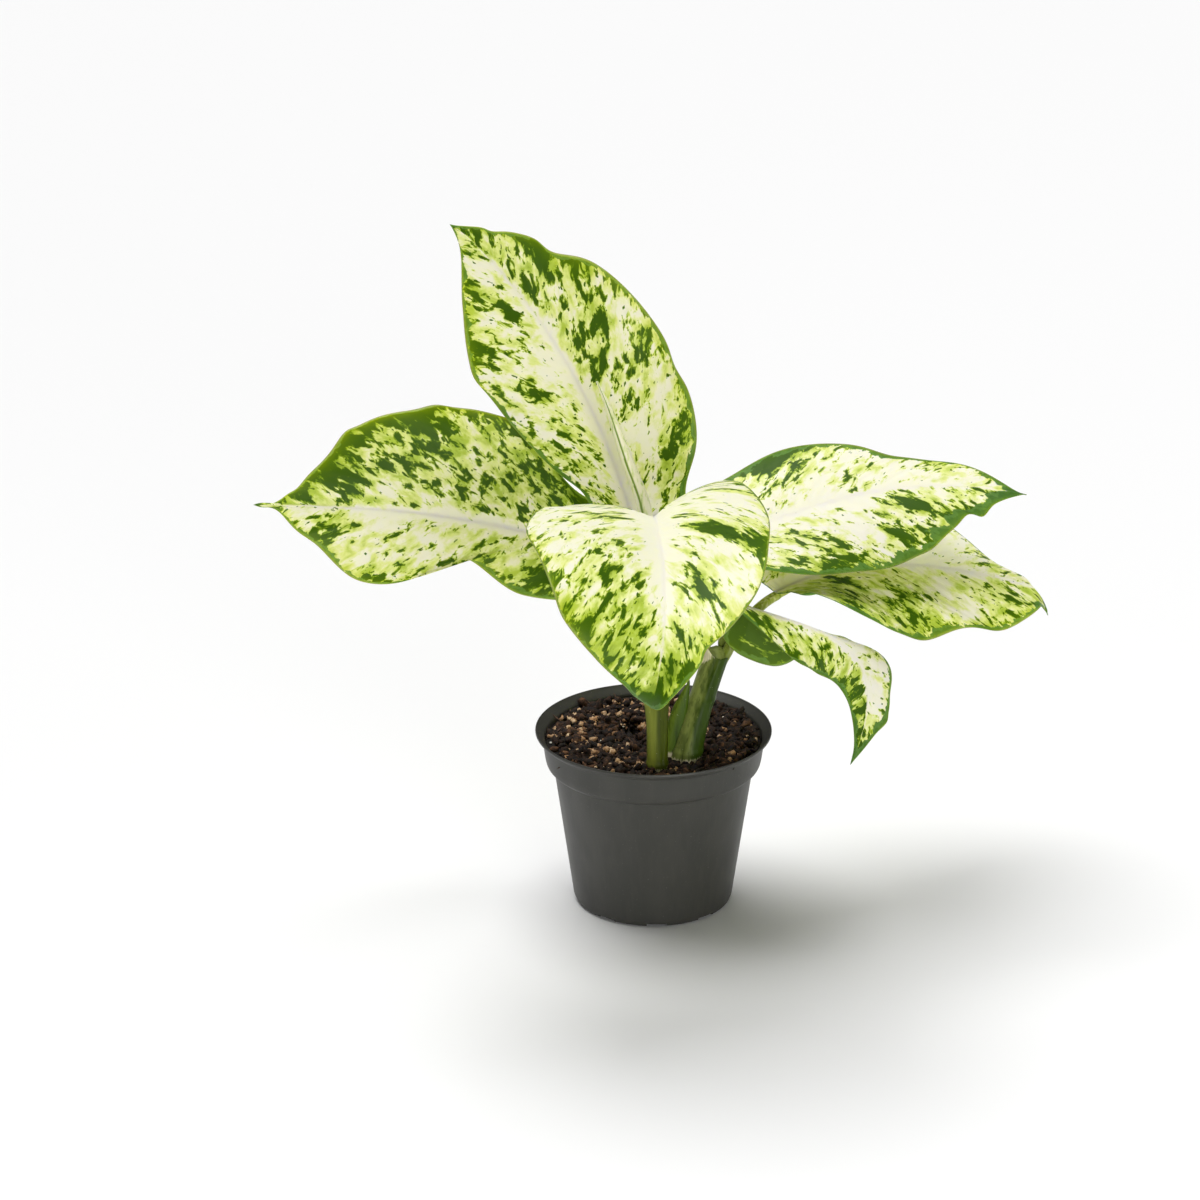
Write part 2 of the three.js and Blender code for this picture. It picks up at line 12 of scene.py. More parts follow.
import bpy
import numpy as np
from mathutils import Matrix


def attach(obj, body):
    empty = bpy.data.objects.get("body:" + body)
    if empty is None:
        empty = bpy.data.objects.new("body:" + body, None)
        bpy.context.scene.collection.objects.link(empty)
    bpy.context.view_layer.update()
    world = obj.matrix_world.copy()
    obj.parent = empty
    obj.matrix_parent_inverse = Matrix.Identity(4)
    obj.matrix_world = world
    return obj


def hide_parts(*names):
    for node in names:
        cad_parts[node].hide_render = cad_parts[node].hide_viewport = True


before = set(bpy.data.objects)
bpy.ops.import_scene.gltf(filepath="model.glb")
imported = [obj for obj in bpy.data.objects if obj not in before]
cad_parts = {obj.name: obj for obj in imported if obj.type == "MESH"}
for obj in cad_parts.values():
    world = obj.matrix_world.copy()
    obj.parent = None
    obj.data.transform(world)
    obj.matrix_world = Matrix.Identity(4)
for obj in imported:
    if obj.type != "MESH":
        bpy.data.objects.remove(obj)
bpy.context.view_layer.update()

LOG = logging.getLogger("dieffenbachia")
MILLIMETRE = 0.001
VEIN_MAP = "veins"
PATCH_MAP = "patches"

Array = np.ndarray


class Side(Enum):
    """The halves of a blade, seen with its tip pointing away; the value is the sign of the outward axis."""

    LEFT = -1
    RIGHT = 1


class Slot(Enum):
    """The material slots of the part's record."""

    POT = "pot_plastic"
    SOIL = "potting_soil"
    STALK = "stalk_green"
    SHEATH = "sheath_green"
    YOUNG_LEAF = "leaf_young"
    LEAF = "leaf_variegated"


# ---- Curves ---------------------------------------------------------------------------------------------


def splined(values: tuple[float, ...], t: Array) -> Array:
    """Smooth value through evenly spaced stations.

    It is a uniform Catmull-Rom spline: between two stations a cubic that leaves and enters with half the step
    from the station before to the one after. Past either end the values are carried on straight.

    Args:
        values: The value at each station.
        t: Places from 0 to 1.

    Returns:
        The value at each place.
    """
    known = np.asarray(values, float)
    padded = np.concatenate([[2 * known[0] - known[1]], known, [2 * known[-1] - known[-2]]])
    spans = len(known) - 1
    place = np.clip(t, 0, 1) * spans
    i = np.minimum(place.astype(int), spans - 1)
    w = place - i
    before, start, end, after = (padded[i + k] for k in range(4))
    out, into = (end - before) / 2, (after - start) / 2
    cubic = 2 * start - 2 * end + out + into
    square = 3 * end - 3 * start - 2 * out - into
    return cubic * w**3 + square * w**2 + out * w + start


def three_point(values: tuple[float, float, float], t: Array) -> Array:
    """Parabola through three values, as the sum of each times its Lagrange polynomial.

    Args:
        values: The value at the base, in the middle and at the tip.
        t: Places from 0 at the base to 1 at the tip.

    Returns:
        The value at each place.
    """
    s = np.clip(t, 0, 1)
    base, middle, tip = values
    return base * (1 - s) * (1 - 2 * s) + 4 * middle * s * (1 - s) + tip * s * (2 * s - 1)


def smooth_step(low: float, high: float, value: Array) -> Array:
    """0 below low, 1 above high and the cubic 3w^2 - 2w^3 between them."""
    w = np.clip((value - low) / (high - low), 0, 1)
    return w * w * (3 - 2 * w)


def unit(vectors: Array) -> Array:
    """The vectors scaled to length 1 along their last axis."""
    return vectors / np.maximum(np.linalg.norm(vectors, axis=-1, keepdims=True), 1e-12)


@dataclass(frozen=True)
class Bezier:
    """A cubic Bezier curve in space."""

    points: tuple[tuple[float, float, float], ...]

    def at(self, t: Array) -> Array:
        """Points of the curve: the four control points weighted by the Bernstein polynomials of t.

        Args:
            t: Places from 0 to 1.

        Returns:
            The points, with one axis more than t.
        """
        a, b, c, d = (np.asarray(p, float) for p in self.points)
        t = np.asarray(t, float)[..., None]
        return a * (1 - t) ** 3 + 3 * b * t * (1 - t) ** 2 + 3 * c * t**2 * (1 - t) + d * t**3

    def tangent(self, t: Array) -> Array:
        """Unit directions of the curve: its derivative, made length 1.

        Args:
            t: Places from 0 to 1.

        Returns:
            The directions, with one axis more than t.
        """
        a, b, c, d = (np.asarray(p, float) for p in self.points)
        t = np.asarray(t, float)[..., None]
        return unit((b - a) * (1 - t) ** 2 + 2 * (c - b) * t * (1 - t) + (d - c) * t**2)


def value_noise(x: Array, y: Array, cell: float, seed: int) -> Array:
    """Soft lumps from -1 to 1: scattered values on a square grid, blended between the grid's points.

    Args:
        x: First coordinate of the places.
        y: Second coordinate of the places.
        cell: Side of one square of the grid, in the units of x and y.
        seed: Number that picks the pattern.

    Returns:
        The height at each place.
    """
    i, j = np.floor(x / cell), np.floor(y / cell)
    u, v = smooth_step(0, 1, x / cell - i), smooth_step(0, 1, y / cell - j)

    def scatter(a: Array, b: Array) -> Array:
        """Repeatable value from -1 to 1: the fraction of a large sine."""
        value = np.sin(a * 127.1 + b * 311.7 + seed * 74.7) * 43758.5453
        return 2 * (value - np.floor(value)) - 1

    low = scatter(i, j) * (1 - u) + scatter(i + 1, j) * u
    high = scatter(i, j + 1) * (1 - u) + scatter(i + 1, j + 1) * u
    return low * (1 - v) + high * v


# ---- Meshes ---------------------------------------------------------------------------------------------


@dataclass
class Skin:
    """A closed surface under construction.

    Attributes:
        points: One row per point, millimetres.
        faces: Corner indices of each face, three or four.
        source: For each point, its index in the grid that it came from.
    """

    points: Array
    faces: list[list[int]]
    source: Array

    @classmethod
    def from_quads(cls, grid: Array, quads: Array) -> "Skin":
        """Keeps the used points, drops repeated corners and turns the faces so that they look outwards.

        Args:
            grid: Points, shape (n, 3).
            quads: Corner indices, shape (m, 4); a corner that repeats its neighbour makes a triangle.

        Returns:
            The closed surface.
        """
        source, flat = np.unique(quads, return_inverse=True)
        quads = flat.reshape(quads.shape)
        points = grid[source]
        a, b, c, d = (points[quads[:, k]] for k in range(4))
        volume = np.einsum("ij,ij->", a, np.cross(b, c)) + np.einsum("ij,ij->", a, np.cross(c, d))
        if volume < 0:
            quads = quads[:, ::-1]
        faces = [list(dict.fromkeys(quad)) for quad in quads.tolist()]
        return cls(points, [face for face in faces if len(face) > 2], source)

    @classmethod
    def tube(cls, grid: Array) -> "Skin":
        """A closed surface from rings: columns wrap round; the first and last ring shrink to their middles.

        Args:
            grid: Points, shape (rings, columns, 3).

        Returns:
            The closed surface.
        """
        grid = grid.copy()
        grid[0], grid[-1] = grid[0].mean(0), grid[-1].mean(0)
        ids = np.arange(grid.shape[0] * grid.shape[1]).reshape(grid.shape[:2])
        ids[0], ids[-1] = ids[0, 0], ids[-1, 0]
        beside = np.roll(ids, -1, axis=1)
        quads = np.stack([ids[:-1], beside[:-1], beside[1:], ids[1:]], -1).reshape(-1, 4)
        return cls.from_quads(grid.reshape(-1, 3), quads)

    @classmethod
    def slab(cls, upper: Array, lower: Array) -> "Skin":
        """A closed thin slab from two grids that share their borders; the end rows shrink to one point each.

        Args:
            upper: Points of the upper face, shape (rows, columns, 3).
            lower: Points of the lower face, same shape.

        Returns:
            The closed surface.
        """
        rows, columns = upper.shape[:2]
        top = np.arange(rows * columns).reshape(rows, columns)
        below = top + rows * columns
        below[:, 0], below[:, -1] = top[:, 0], top[:, -1]
        for row in (0, -1):
            top[row] = top[row, 0]
            below[row] = top[row, 0]
        sheets = [
            np.stack([ids[:-1, :-1], ids[:-1, 1:], ids[1:, 1:], ids[1:, :-1]], -1).reshape(-1, 4)
            for ids in (top, below)
        ]
        quads = np.concatenate([sheets[0], sheets[1][:, ::-1]])
        return cls.from_quads(np.concatenate([upper.reshape(-1, 3), lower.reshape(-1, 3)]), quads)

    def piece(self, name: str, material: bpy.types.Material) -> bpy.types.Object:
        """Makes the mesh object, smooth shaded, with its one material.

        Args:
            name: Name of the piece.
            material: Its finish.

        Returns:
            The object, at the origin, with its place in its mesh.
        """
        mesh = bpy.data.meshes.new(name)
        mesh.from_pydata((self.points * MILLIMETRE).tolist(), [], self.faces)
        mesh.polygons.foreach_set("use_smooth", np.ones(len(mesh.polygons), bool))
        mesh.materials.append(material)
        mesh.validate()
        made = bpy.data.objects.new(name, mesh)
        bpy.context.scene.collection.objects.link(made)
        return made


def add_values(piece: bpy.types.Object, name: str, values: Array) -> None:
    """Stores one number per vertex, which a material reads by name."""
    layer = piece.data.attributes.new(name, "FLOAT", "POINT")
    layer.data.foreach_set("value", np.ascontiguousarray(values, np.float32))


def add_map(piece: bpy.types.Object, name: str, places: Array) -> None:
    """Stores a UV map.

    Args:
        piece: The piece.
        name: The map's name.
        places: One pair of numbers per vertex.
    """
    mesh = piece.data
    corners = np.empty(len(mesh.loops), np.int32)
    mesh.loops.foreach_get("vertex_index", corners)
    mesh.uv_layers.new(name=name).data.foreach_set("uv", places[corners].astype(np.float32).ravel())


def sharpen(piece: bpy.types.Object, degrees: float) -> None:
    """Shades edges that turn by more than the angle as corners."""
    piece.data.set_sharp_from_angle(angle=math.radians(degrees))


def settle(piece: bpy.types.Object, node: str) -> bpy.types.Object:
    """Puts the piece in the frame: it rides on the one body and stands for a CAD node, whose own mesh is
    hidden.

    Args:
        piece: The finished piece.
        node: The CAD node it stands for.

    Returns:
        The piece.
    """
    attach(piece, "root")
    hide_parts(node)
    LOG.info("%s stands for %s: %d faces", piece.name, node, len(piece.data.polygons))
    return piece


# ---- Finishes -------------------------------------------------------------------------------------------


class Blend(Enum):
    """How a layer's share rises from its low to its high end; the value is Blender's name for it."""

    SOFT = "SMOOTHSTEP"
    EVEN = "LINEAR"


def linear(colour: str) -> tuple[float, float, float, float]:
    """An sRGB hex colour as linear light, with full alpha."""
    parts = [int(colour[i : i + 2], 16) / 255 for i in (1, 3, 5)]
    return (*(p / 12.92 if p <= 0.04045 else ((p + 0.055) / 1.055) ** 2.4 for p in parts), 1.0)


def add_node(
    tree: bpy.types.NodeTree, kind: str, inputs: dict | None = None, **settings: object
) -> bpy.types.Node:
    """Adds a shader node.

    Args:
        tree: The material's node tree.
        kind: Blender's name for the node's type.
        inputs: Socket name or number to a value, or to the output socket that feeds it.
        settings: The node's own settings.

    Returns:
        The node.
    """
    node = tree.nodes.new(kind)
    for key, value in settings.items():
        setattr(node, key, value)
    for key, value in (inputs or {}).items():
        if isinstance(value, bpy.types.NodeSocket):
            tree.links.new(value, node.inputs[key])
        else:
            node.inputs[key].default_value = value
    return node


def new_material(name: str) -> tuple[bpy.types.Material, bpy.types.NodeTree]:
    """Makes an empty node material.

    Args:
        name: Its name.

    Returns:
        The material and its node tree.
    """
    material = bpy.data.materials.new(name)
    material.use_nodes = True
    material.node_tree.nodes.clear()
    return material, material.node_tree


@dataclass(frozen=True)
class Grain:
    """A noise pattern stretched to the real size of what it draws.

    Attributes:
        length: Size of one patch along the first axis, mm.
        width: Size of one patch along the second axis, mm.
        height: Size of one patch along the third axis, mm.
        detail: Octaves of finer patches.
        roughness: How strong the finer patches are.
        distortion: How far the patches are bent.
    """

    length: float
    width: float
    height: float = 10.0
    detail: float = 3.0
    roughness: float = 0.5
    distortion: float = 0.0

    def draw(
        self, tree: bpy.types.NodeTree, place: bpy.types.NodeSocket, shift: float = 0.0
    ) -> bpy.types.NodeSocket:
        """Adds the pattern.

        Args:
            tree: The material's node tree.
            place: Coordinates in metres.
            shift: Number that picks another part of the pattern.

        Returns:
            The pattern's value, about 0.5 on average.
        """
        sized = add_node(
            tree,
            "ShaderNodeMapping",
            {
                "Vector": place,
                "Location": (shift, shift * 1.7, shift * 0.6),
                "Scale": tuple(1 / (size * MILLIMETRE) for size in (self.length, self.width, self.height)),
            },
        )
        noise = add_node(
            tree,
            "ShaderNodeTexNoise",
            {
                "Vector": sized.outputs[0],
                "Scale": 1.0,
                "Detail": self.detail,
                "Roughness": self.roughness,
                "Distortion": self.distortion,
            },
        )
        return noise.outputs["Fac"]


@dataclass(frozen=True)
class Layer:
    """One colour laid over those below it, as far as a value says.

    Attributes:
        colour: The colour.
        value: The value that is read.
        low: Where the layer's share is 0; it may be larger than high.
        high: Where its share is top.
        top: Its greatest share.
        blend: How the share rises between them.
    """

    colour: str
    value: bpy.types.NodeSocket
    low: float
    high: float
    top: float = 1.0
    blend: Blend = Blend.SOFT


def painted(tree: bpy.types.NodeTree, ground: str, layers: list[Layer]) -> bpy.types.NodeSocket:
    """Lays colours over a ground one after another.

    Args:
        tree: The material's node tree.
        ground: Colour of the bare ground.
        layers: The colours over it, lowest first.

    Returns:
        The mixed colour.
    """
    mixed = linear(ground)
    for layer in layers:
        start, end = (0.0, layer.top) if layer.low < layer.high else (layer.top, 0.0)
        span = {
            "Value": layer.value,
            "From Min": min(layer.low, layer.high),
            "From Max": max(layer.low, layer.high),
            "To Min": start,
            "To Max": end,
        }
        share = add_node(tree, "ShaderNodeMapRange", span, interpolation_type=layer.blend.value).outputs[0]
        stack = {0: share, 6: mixed, 7: linear(layer.colour)}
        mixed = add_node(tree, "ShaderNodeMix", stack, data_type="RGBA").outputs[2]
    return mixed


def weighted_sum(
    tree: bpy.types.NodeTree, start: object, *terms: tuple[bpy.types.NodeSocket, float]
) -> bpy.types.NodeSocket:
    """Adds values up, each times its weight.

    Args:
        tree: The material's node tree.
        start: Number or value that they are added to.
        terms: Each value with its weight.

    Returns:
        The sum.
    """
    total = start
    for value, weight in terms:
        parts = {0: value, 1: weight, 2: total}
        total = add_node(tree, "ShaderNodeMath", parts, operation="MULTIPLY_ADD").outputs[0]
    return total


def surfaced(
    tree: bpy.types.NodeTree,
    colour: bpy.types.NodeSocket,
    height: bpy.types.NodeSocket,
    relief: float,
    sockets: dict[str, object],
) -> None:
    """Ends the tree in a Principled shader whose surface has a fine relief.

    Args:
        tree: The material's node tree.
        colour: The base colour.
        height: The pattern of the relief.
        relief: Its depth, mm.
        sockets: Other inputs of the shader, by name.
    """
    pits = {"Height": height, "Distance": relief * MILLIMETRE, "Strength": 1.0}
    bump = add_node(tree, "ShaderNodeBump", pits)
    inputs = {"Base Color": colour, "Normal": bump.outputs[0], **sockets}
    shader = add_node(tree, "ShaderNodeBsdfPrincipled", inputs)
    add_node(tree, "ShaderNodeOutputMaterial", {"Surface": shader.outputs[0]})


@dataclass(frozen=True)
class VariegatedBlade:
    """Blade of a variegated leaf: living tissue under a waxy skin.

    Cells without green give a cream ground that lets light through. Those with some green read yellow-green,
    and full green shows as dark, crisp blotches drawn out along the side veins. The wax gives a semi-gloss.
    """

    cream: str = "#f1eed7"
    pale: str = "#dbe390"
    lime: str = "#a9bd38"
    mid_green: str = "#648214"
    dark_green: str = "#3a5a05"
    margin: str = "#567b35"
    margin_dark: str = "#3d6420"
    rib: str = "#f2eed6"
    underside: str = "#8fa050"
    fields: Grain = Grain(30, 22, detail=2, roughness=0.5)
    tints: Grain = Grain(10, 6, detail=4, roughness=0.55, distortion=0.3)
    blotches: Grain = Grain(7.6, 3.7, detail=3.5, roughness=0.57, distortion=0.4)
    flecks: Grain = Grain(4, 2.2, detail=2, roughness=0.5, distortion=0.3)
    threads: Grain = Grain(12, 0.9, detail=2)
    cells: Grain = Grain(0.9, 0.7, detail=2)

    def material(self) -> bpy.types.Material:
        """Builds the finish, which reads the blade's maps and its green, tint, rib, edge and under values.

        The density of the green is the green value plus broad fields of more and less. It raises the patterns
        of the tints, blotches and flecks, and each colour shows where its pattern is above the layer's range.

        Returns:
            The finish.
        """
        material, tree = new_material("variegated_leaf_tissue")
        vein_place = add_node(tree, "ShaderNodeUVMap", uv_map=VEIN_MAP).outputs[0]
        place = add_node(tree, "ShaderNodeUVMap", uv_map=PATCH_MAP).outputs[0]
        green, tint, rib, edge, under = (
            add_node(tree, "ShaderNodeAttribute", attribute_name=name).outputs["Fac"]
            for name in ("green", "tint", "rib", "edge", "under")
        )

        density = weighted_sum(tree, -1.75, (self.fields.draw(tree, place, 31), 3.5), (green, 1.0))
        tints = weighted_sum(tree, self.tints.draw(tree, place, 5), (density, 0.13), (tint, 0.1))
        blotches = weighted_sum(tree, self.blotches.draw(tree, place, 9), (density, 0.11))
        flecks = weighted_sum(tree, self.flecks.draw(tree, place, 13), (density, 0.06))
        band = weighted_sum(tree, edge, (self.tints.draw(tree, place, 21), 5.0))
        layers = [
            Layer(self.pale, tints, 0.42, 0.6),
            Layer(self.pale, blotches, 0.52, 0.57),
            Layer(self.lime, tints, 0.57, 0.72, 0.85),
            Layer(self.lime, blotches, 0.555, 0.595),
            Layer(self.mid_green, tints, 0.72, 0.86, 0.6),
            Layer(self.mid_green, flecks, 0.665, 0.69),
            Layer(self.dark_green, flecks, 0.71, 0.73),
            Layer(self.mid_green, blotches, 0.585, 0.61),
            Layer(self.dark_green, blotches, 0.615, 0.645),
            Layer(self.margin, band, 3.6, 3.4),
            Layer(self.margin_dark, band, 3.1, 2.7, 0.7),
            Layer(self.rib, rib, 1.2, 0.5, 0.4),
            # The lower face is veiled with a duller green: partly its own colour, partly painted shade.
            Layer(self.underside, under, 0.0, 1.0, 0.12, Blend.EVEN),
        ]
        threads = self.threads.draw(tree, vein_place, 3)
        span = {"Value": threads, "From Min": 0.3, "From Max": 0.7, "To Max": 0.06}
        uneven = add_node(tree, "ShaderNodeMapRange", span, interpolation_type=Blend.SOFT.value).outputs[0]
        surfaced(
            tree,
            painted(tree, self.cream, layers),
            height=weighted_sum(tree, self.cells.draw(tree, place, 2), (threads, 1.5)),
            relief=0.05,
            sockets={
                "Roughness": weighted_sum(tree, 0.38, (uneven, 1.0), (under, 0.2)),
                "Specular IOR Level": 0.1,
                "Subsurface Weight": 0.7,
                "Subsurface Radius": (0.9, 1.0, 0.25),
                "Subsurface Scale": 0.0016,
            },
        )
        return material


@dataclass(frozen=True)
class LeafStalkSkin:
    """Skin of a leaf stalk: smooth, fleshy, yellow-green with pale streaks along it, olive at its foot."""

    ground: str = "#aeb94c"
    cream: str = "#d3d78c"
    green: str = "#7a8d28"
    olive: str = "#5f6f20"
    streaks: Grain = Grain(1.6, 1.6, 14, detail=3)
    freckles: Grain = Grain(1.0, 1.0, 2.4, detail=2)

    def material(self) -> bpy.types.Material:
        """Builds the finish on object coordinates and the foot value of each vertex.

        The streaks run upwards, as the leaf stalks do.

        Returns:
            The finish.
        """
        material, tree = new_material("fleshy_leaf_stalk")
        place = add_node(tree, "ShaderNodeTexCoord").outputs["Object"]
        foot = add_node(tree, "ShaderNodeAttribute", attribute_name="foot").outputs["Fac"]
        streaks = self.streaks.draw(tree, place)
        freckles = self.freckles.draw(tree, place, 4)
        layers = [
            Layer(self.cream, streaks, 0.5, 0.62),
            Layer(self.green, streaks, 0.44, 0.34, 0.8),
            Layer(self.green, freckles, 0.64, 0.7, 0.7),
            Layer(self.olive, foot, 0.0, 1.0, 0.85, Blend.EVEN),
        ]
        surfaced(
            tree,
            painted(tree, self.ground, layers),
            height=streaks,
            relief=0.1,
            sockets={
                "Roughness": 0.38,
                "Specular IOR Level": 0.25,
                "Subsurface Weight": 0.2,
                "Subsurface Radius": (1.0, 1.0, 0.5),
                "Subsurface Scale": 0.002,
            },
        )
        return material


@dataclass(frozen=True)
class SheathSkin:
    """Stalk skin of nested leaf sheaths: satin green, fine ribs and specks; painted light makes the left side
    paler.

    Attributes:
        name: Name of the material.
        green: The green side.
        pale: The paler side, where the value "pale" of a vertex is 1: painted light, as if lit from the left.
        deep: Deep green of streaks and shaded folds.
        papery: Dried tissue, where the value "dry" of a vertex is 1.
        speck: Small light specks.
        ribs: The fine ribs along the stalk.
        clouds: Broad streaks of paler and deeper green.
        specks: Size of the specks.
    """

    name: str
    green: str
    pale: str
    deep: str
    papery: str = "#d8d0ac"
    speck: str = "#dfe3bd"
    ribs: Grain = Grain(1.1, 1.1, 45, detail=3)
    clouds: Grain = Grain(4, 4, 70, detail=2)
    specks: Grain = Grain(0.7, 0.7, 0.9, detail=1)

    def material(self) -> bpy.types.Material:
        """Builds the finish on object coordinates and the pale and dry values of each vertex.

        Dried tissue is frayed by the ribs, and the paler side, which is painted light, is broken up by the
        clouds.

        Returns:
            The finish.
        """
        material, tree = new_material(self.name)
        place = add_node(tree, "ShaderNodeTexCoord").outputs["Object"]
        pale, dry = (
            add_node(tree, "ShaderNodeAttribute", attribute_name=name).outputs["Fac"]
            for name in ("pale", "dry")
        )
        ribs = self.ribs.draw(tree, place)
        clouds = self.clouds.draw(tree, place, 3)

        # Painted light: the stem's left side, where "pale" is 1, takes the paler colour.
        painted_lit_side = weighted_sum(tree, -0.2, (pale, 0.9), (clouds, 0.5))
        layers = [
            Layer(self.pale, painted_lit_side, 0.35, 0.75),
            Layer(self.deep, clouds, 0.5, 0.36, 0.4),
            Layer(self.deep, ribs, 0.46, 0.32, 0.45),
            Layer(self.speck, self.specks.draw(tree, place, 6), 0.77, 0.81, 0.7),
            Layer(self.papery, weighted_sum(tree, dry, (ribs, 0.7)), 0.75, 0.95),
        ]
        surfaced(
            tree,
            painted(tree, self.green, layers),
            height=ribs,
            relief=0.15,
            sockets={
                "Roughness": weighted_sum(tree, 0.4, (dry, 0.35)),
                "Specular IOR Level": 0.12,
                "Subsurface Weight": 0.1,
                "Subsurface Radius": (1.0, 1.0, 0.5),
                "Subsurface Scale": 0.002,
            },
        )
        return material


@dataclass(frozen=True)
class RolledLeafSkin:
    """Back of a rolled young leaf: cream with faint yellow-green streaks, olive in the slit of the roll."""

    cream: str = "#efeccb"
    tint: str = "#d3dd8f"
    olive: str = "#7e9a33"
    streaks: Grain = Grain(1.8, 1.8, 12, detail=4, roughness=0.6)

    def material(self) -> bpy.types.Material:
        """Builds the finish on object coordinates and the slit value of each vertex.

        Returns:
            The finish.
        """
        material, tree = new_material("rolled_young_leaf")
        place = add_node(tree, "ShaderNodeTexCoord").outputs["Object"]
        slit = add_node(tree, "ShaderNodeAttribute", attribute_name="slit").outputs["Fac"]
        streaks = self.streaks.draw(tree, place)
        layers = [
            Layer(self.tint, streaks, 0.48, 0.6, 0.8),
            Layer(self.olive, streaks, 0.62, 0.68, 0.7),
            Layer(self.olive, slit, 0.35, 0.8),
        ]
        surfaced(
            tree,
            painted(tree, self.cream, layers),
            height=streaks,
            relief=0.12,
            sockets={
                "Roughness": 0.4,
                "Subsurface Weight": 0.3,
                "Subsurface Radius": (1.0, 1.0, 0.5),
                "Subsurface Scale": 0.002,
            },
        )
        return material


@dataclass(frozen=True)
class MouldedPlastic:
    """Injection-moulded recycled polypropylene: dark warm grey, satin, with faint flow streaks and dust."""

    grey: str = "#34342f"
    light: str = "#3f3e38"
    dust: str = "#6b6962"
    mottling: Grain = Grain(18, 18, 40, detail=3)
    streaks: Grain = Grain(2.2, 2.2, 60, detail=2)
    specks: Grain = Grain(0.8, 0.8, 0.8, detail=1)
    orange_peel: Grain = Grain(0.7, 0.7, 0.7, detail=2)

    def material(self) -> bpy.types.Material:
        """Builds the finish on object coordinates.

        Returns:
            The finish.
        """
        material, tree = new_material("moulded_recycled_polypropylene")
        place = add_node(tree, "ShaderNodeTexCoord").outputs["Object"]
        mottling = self.mottling.draw(tree, place)
        layers = [
            Layer(self.light, mottling, 0.4, 0.7, 0.5),
            Layer(self.light, self.streaks.draw(tree, place, 2), 0.5, 0.7, 0.3),
            Layer(self.dust, self.specks.draw(tree, place, 5), 0.74, 0.78, 0.5),
        ]
        span = {"Value": mottling, "From Min": 0.35, "From Max": 0.65, "To Max": 0.06}
        smoother = add_node(tree, "ShaderNodeMapRange", span, interpolation_type=Blend.SOFT.value).outputs[0]
        rough = add_node(tree, "ShaderNodeMath", {0: 0.52, 1: smoother}, operation="SUBTRACT").outputs[0]
        surfaced(
            tree,
            painted(tree, self.grey, layers),
            height=self.orange_peel.draw(tree, place, 7),
            relief=0.04,
            sockets={"Roughness": rough},
        )
        return material


@dataclass(frozen=True)
class Crumbly:
    """Loose matter of a potting mix: matt crumbs whose colour changes from one to the next.

    Attributes:
        name: Name of the material.
        dark: Colour of dark, moist crumbs; also laid over what lies low as painted shade.
        light: Colour of dry crumbs.
        clouds: Size of the patches of dry and damp.
        pores: Size of the pits in the surface.
        relief: Depth of the pits, mm.
        painted_shade_heights: Height above which it is unshaded and below which nearly all of it is painted
            shade, m.
        gloss: How much it glistens, as moist matter does; the roughness falls from 0.92 with it.
    """

    name: str
    dark: str
    light: str
    clouds: Grain = Grain(3, 3, 3, detail=4, roughness=0.65)
    pores: Grain = Grain(0.9, 0.9, 0.9, detail=3)
    relief: float = 0.5
    painted_shade_heights: tuple[float, float] = (0.0875, 0.0845)
    gloss: float = 0.0

    def material(self) -> bpy.types.Material:
        """Builds the finish on object coordinates.

        Returns:
            The finish.
        """
        material, tree = new_material(self.name)
        place = add_node(tree, "ShaderNodeTexCoord").outputs["Object"]
        height = add_node(tree, "ShaderNodeSeparateXYZ", {0: place}).outputs["Z"]
        layers = [
            Layer(self.light, self.clouds.draw(tree, place), 0.4, 0.68),
            # Painted shade: what lies low, in the hollows of the soil's top, is darkened.
            Layer(self.dark, height, *self.painted_shade_heights, 0.85),
        ]
        surfaced(
            tree,
            painted(tree, self.dark, layers),
            height=self.pores.draw(tree, place, 3),
            relief=self.relief,
            sockets={
                "Roughness": 0.92 - 0.7 * self.gloss,
                "Specular IOR Level": 0.25 + 0.3 * self.gloss,
            },
        )
        return material


# ---- Leaves ---------------------------------------------------------------------------------------------

# Half a blade is a fan of side veins. Station by station, from the leaf stalk to the tip, ALONG says how far
# along the leaf a side vein ends and ROOT how far along it leaves the midrib (1 is the leaf's length).
ALONG = (0, -0.06, -0.045, 0.09, 0.26, 0.45, 0.64, 0.8, 0.92, 0.98, 1)
ROOT = (0, 0.006, 0.02, 0.055, 0.135, 0.27, 0.45, 0.64, 0.81, 0.93, 1)


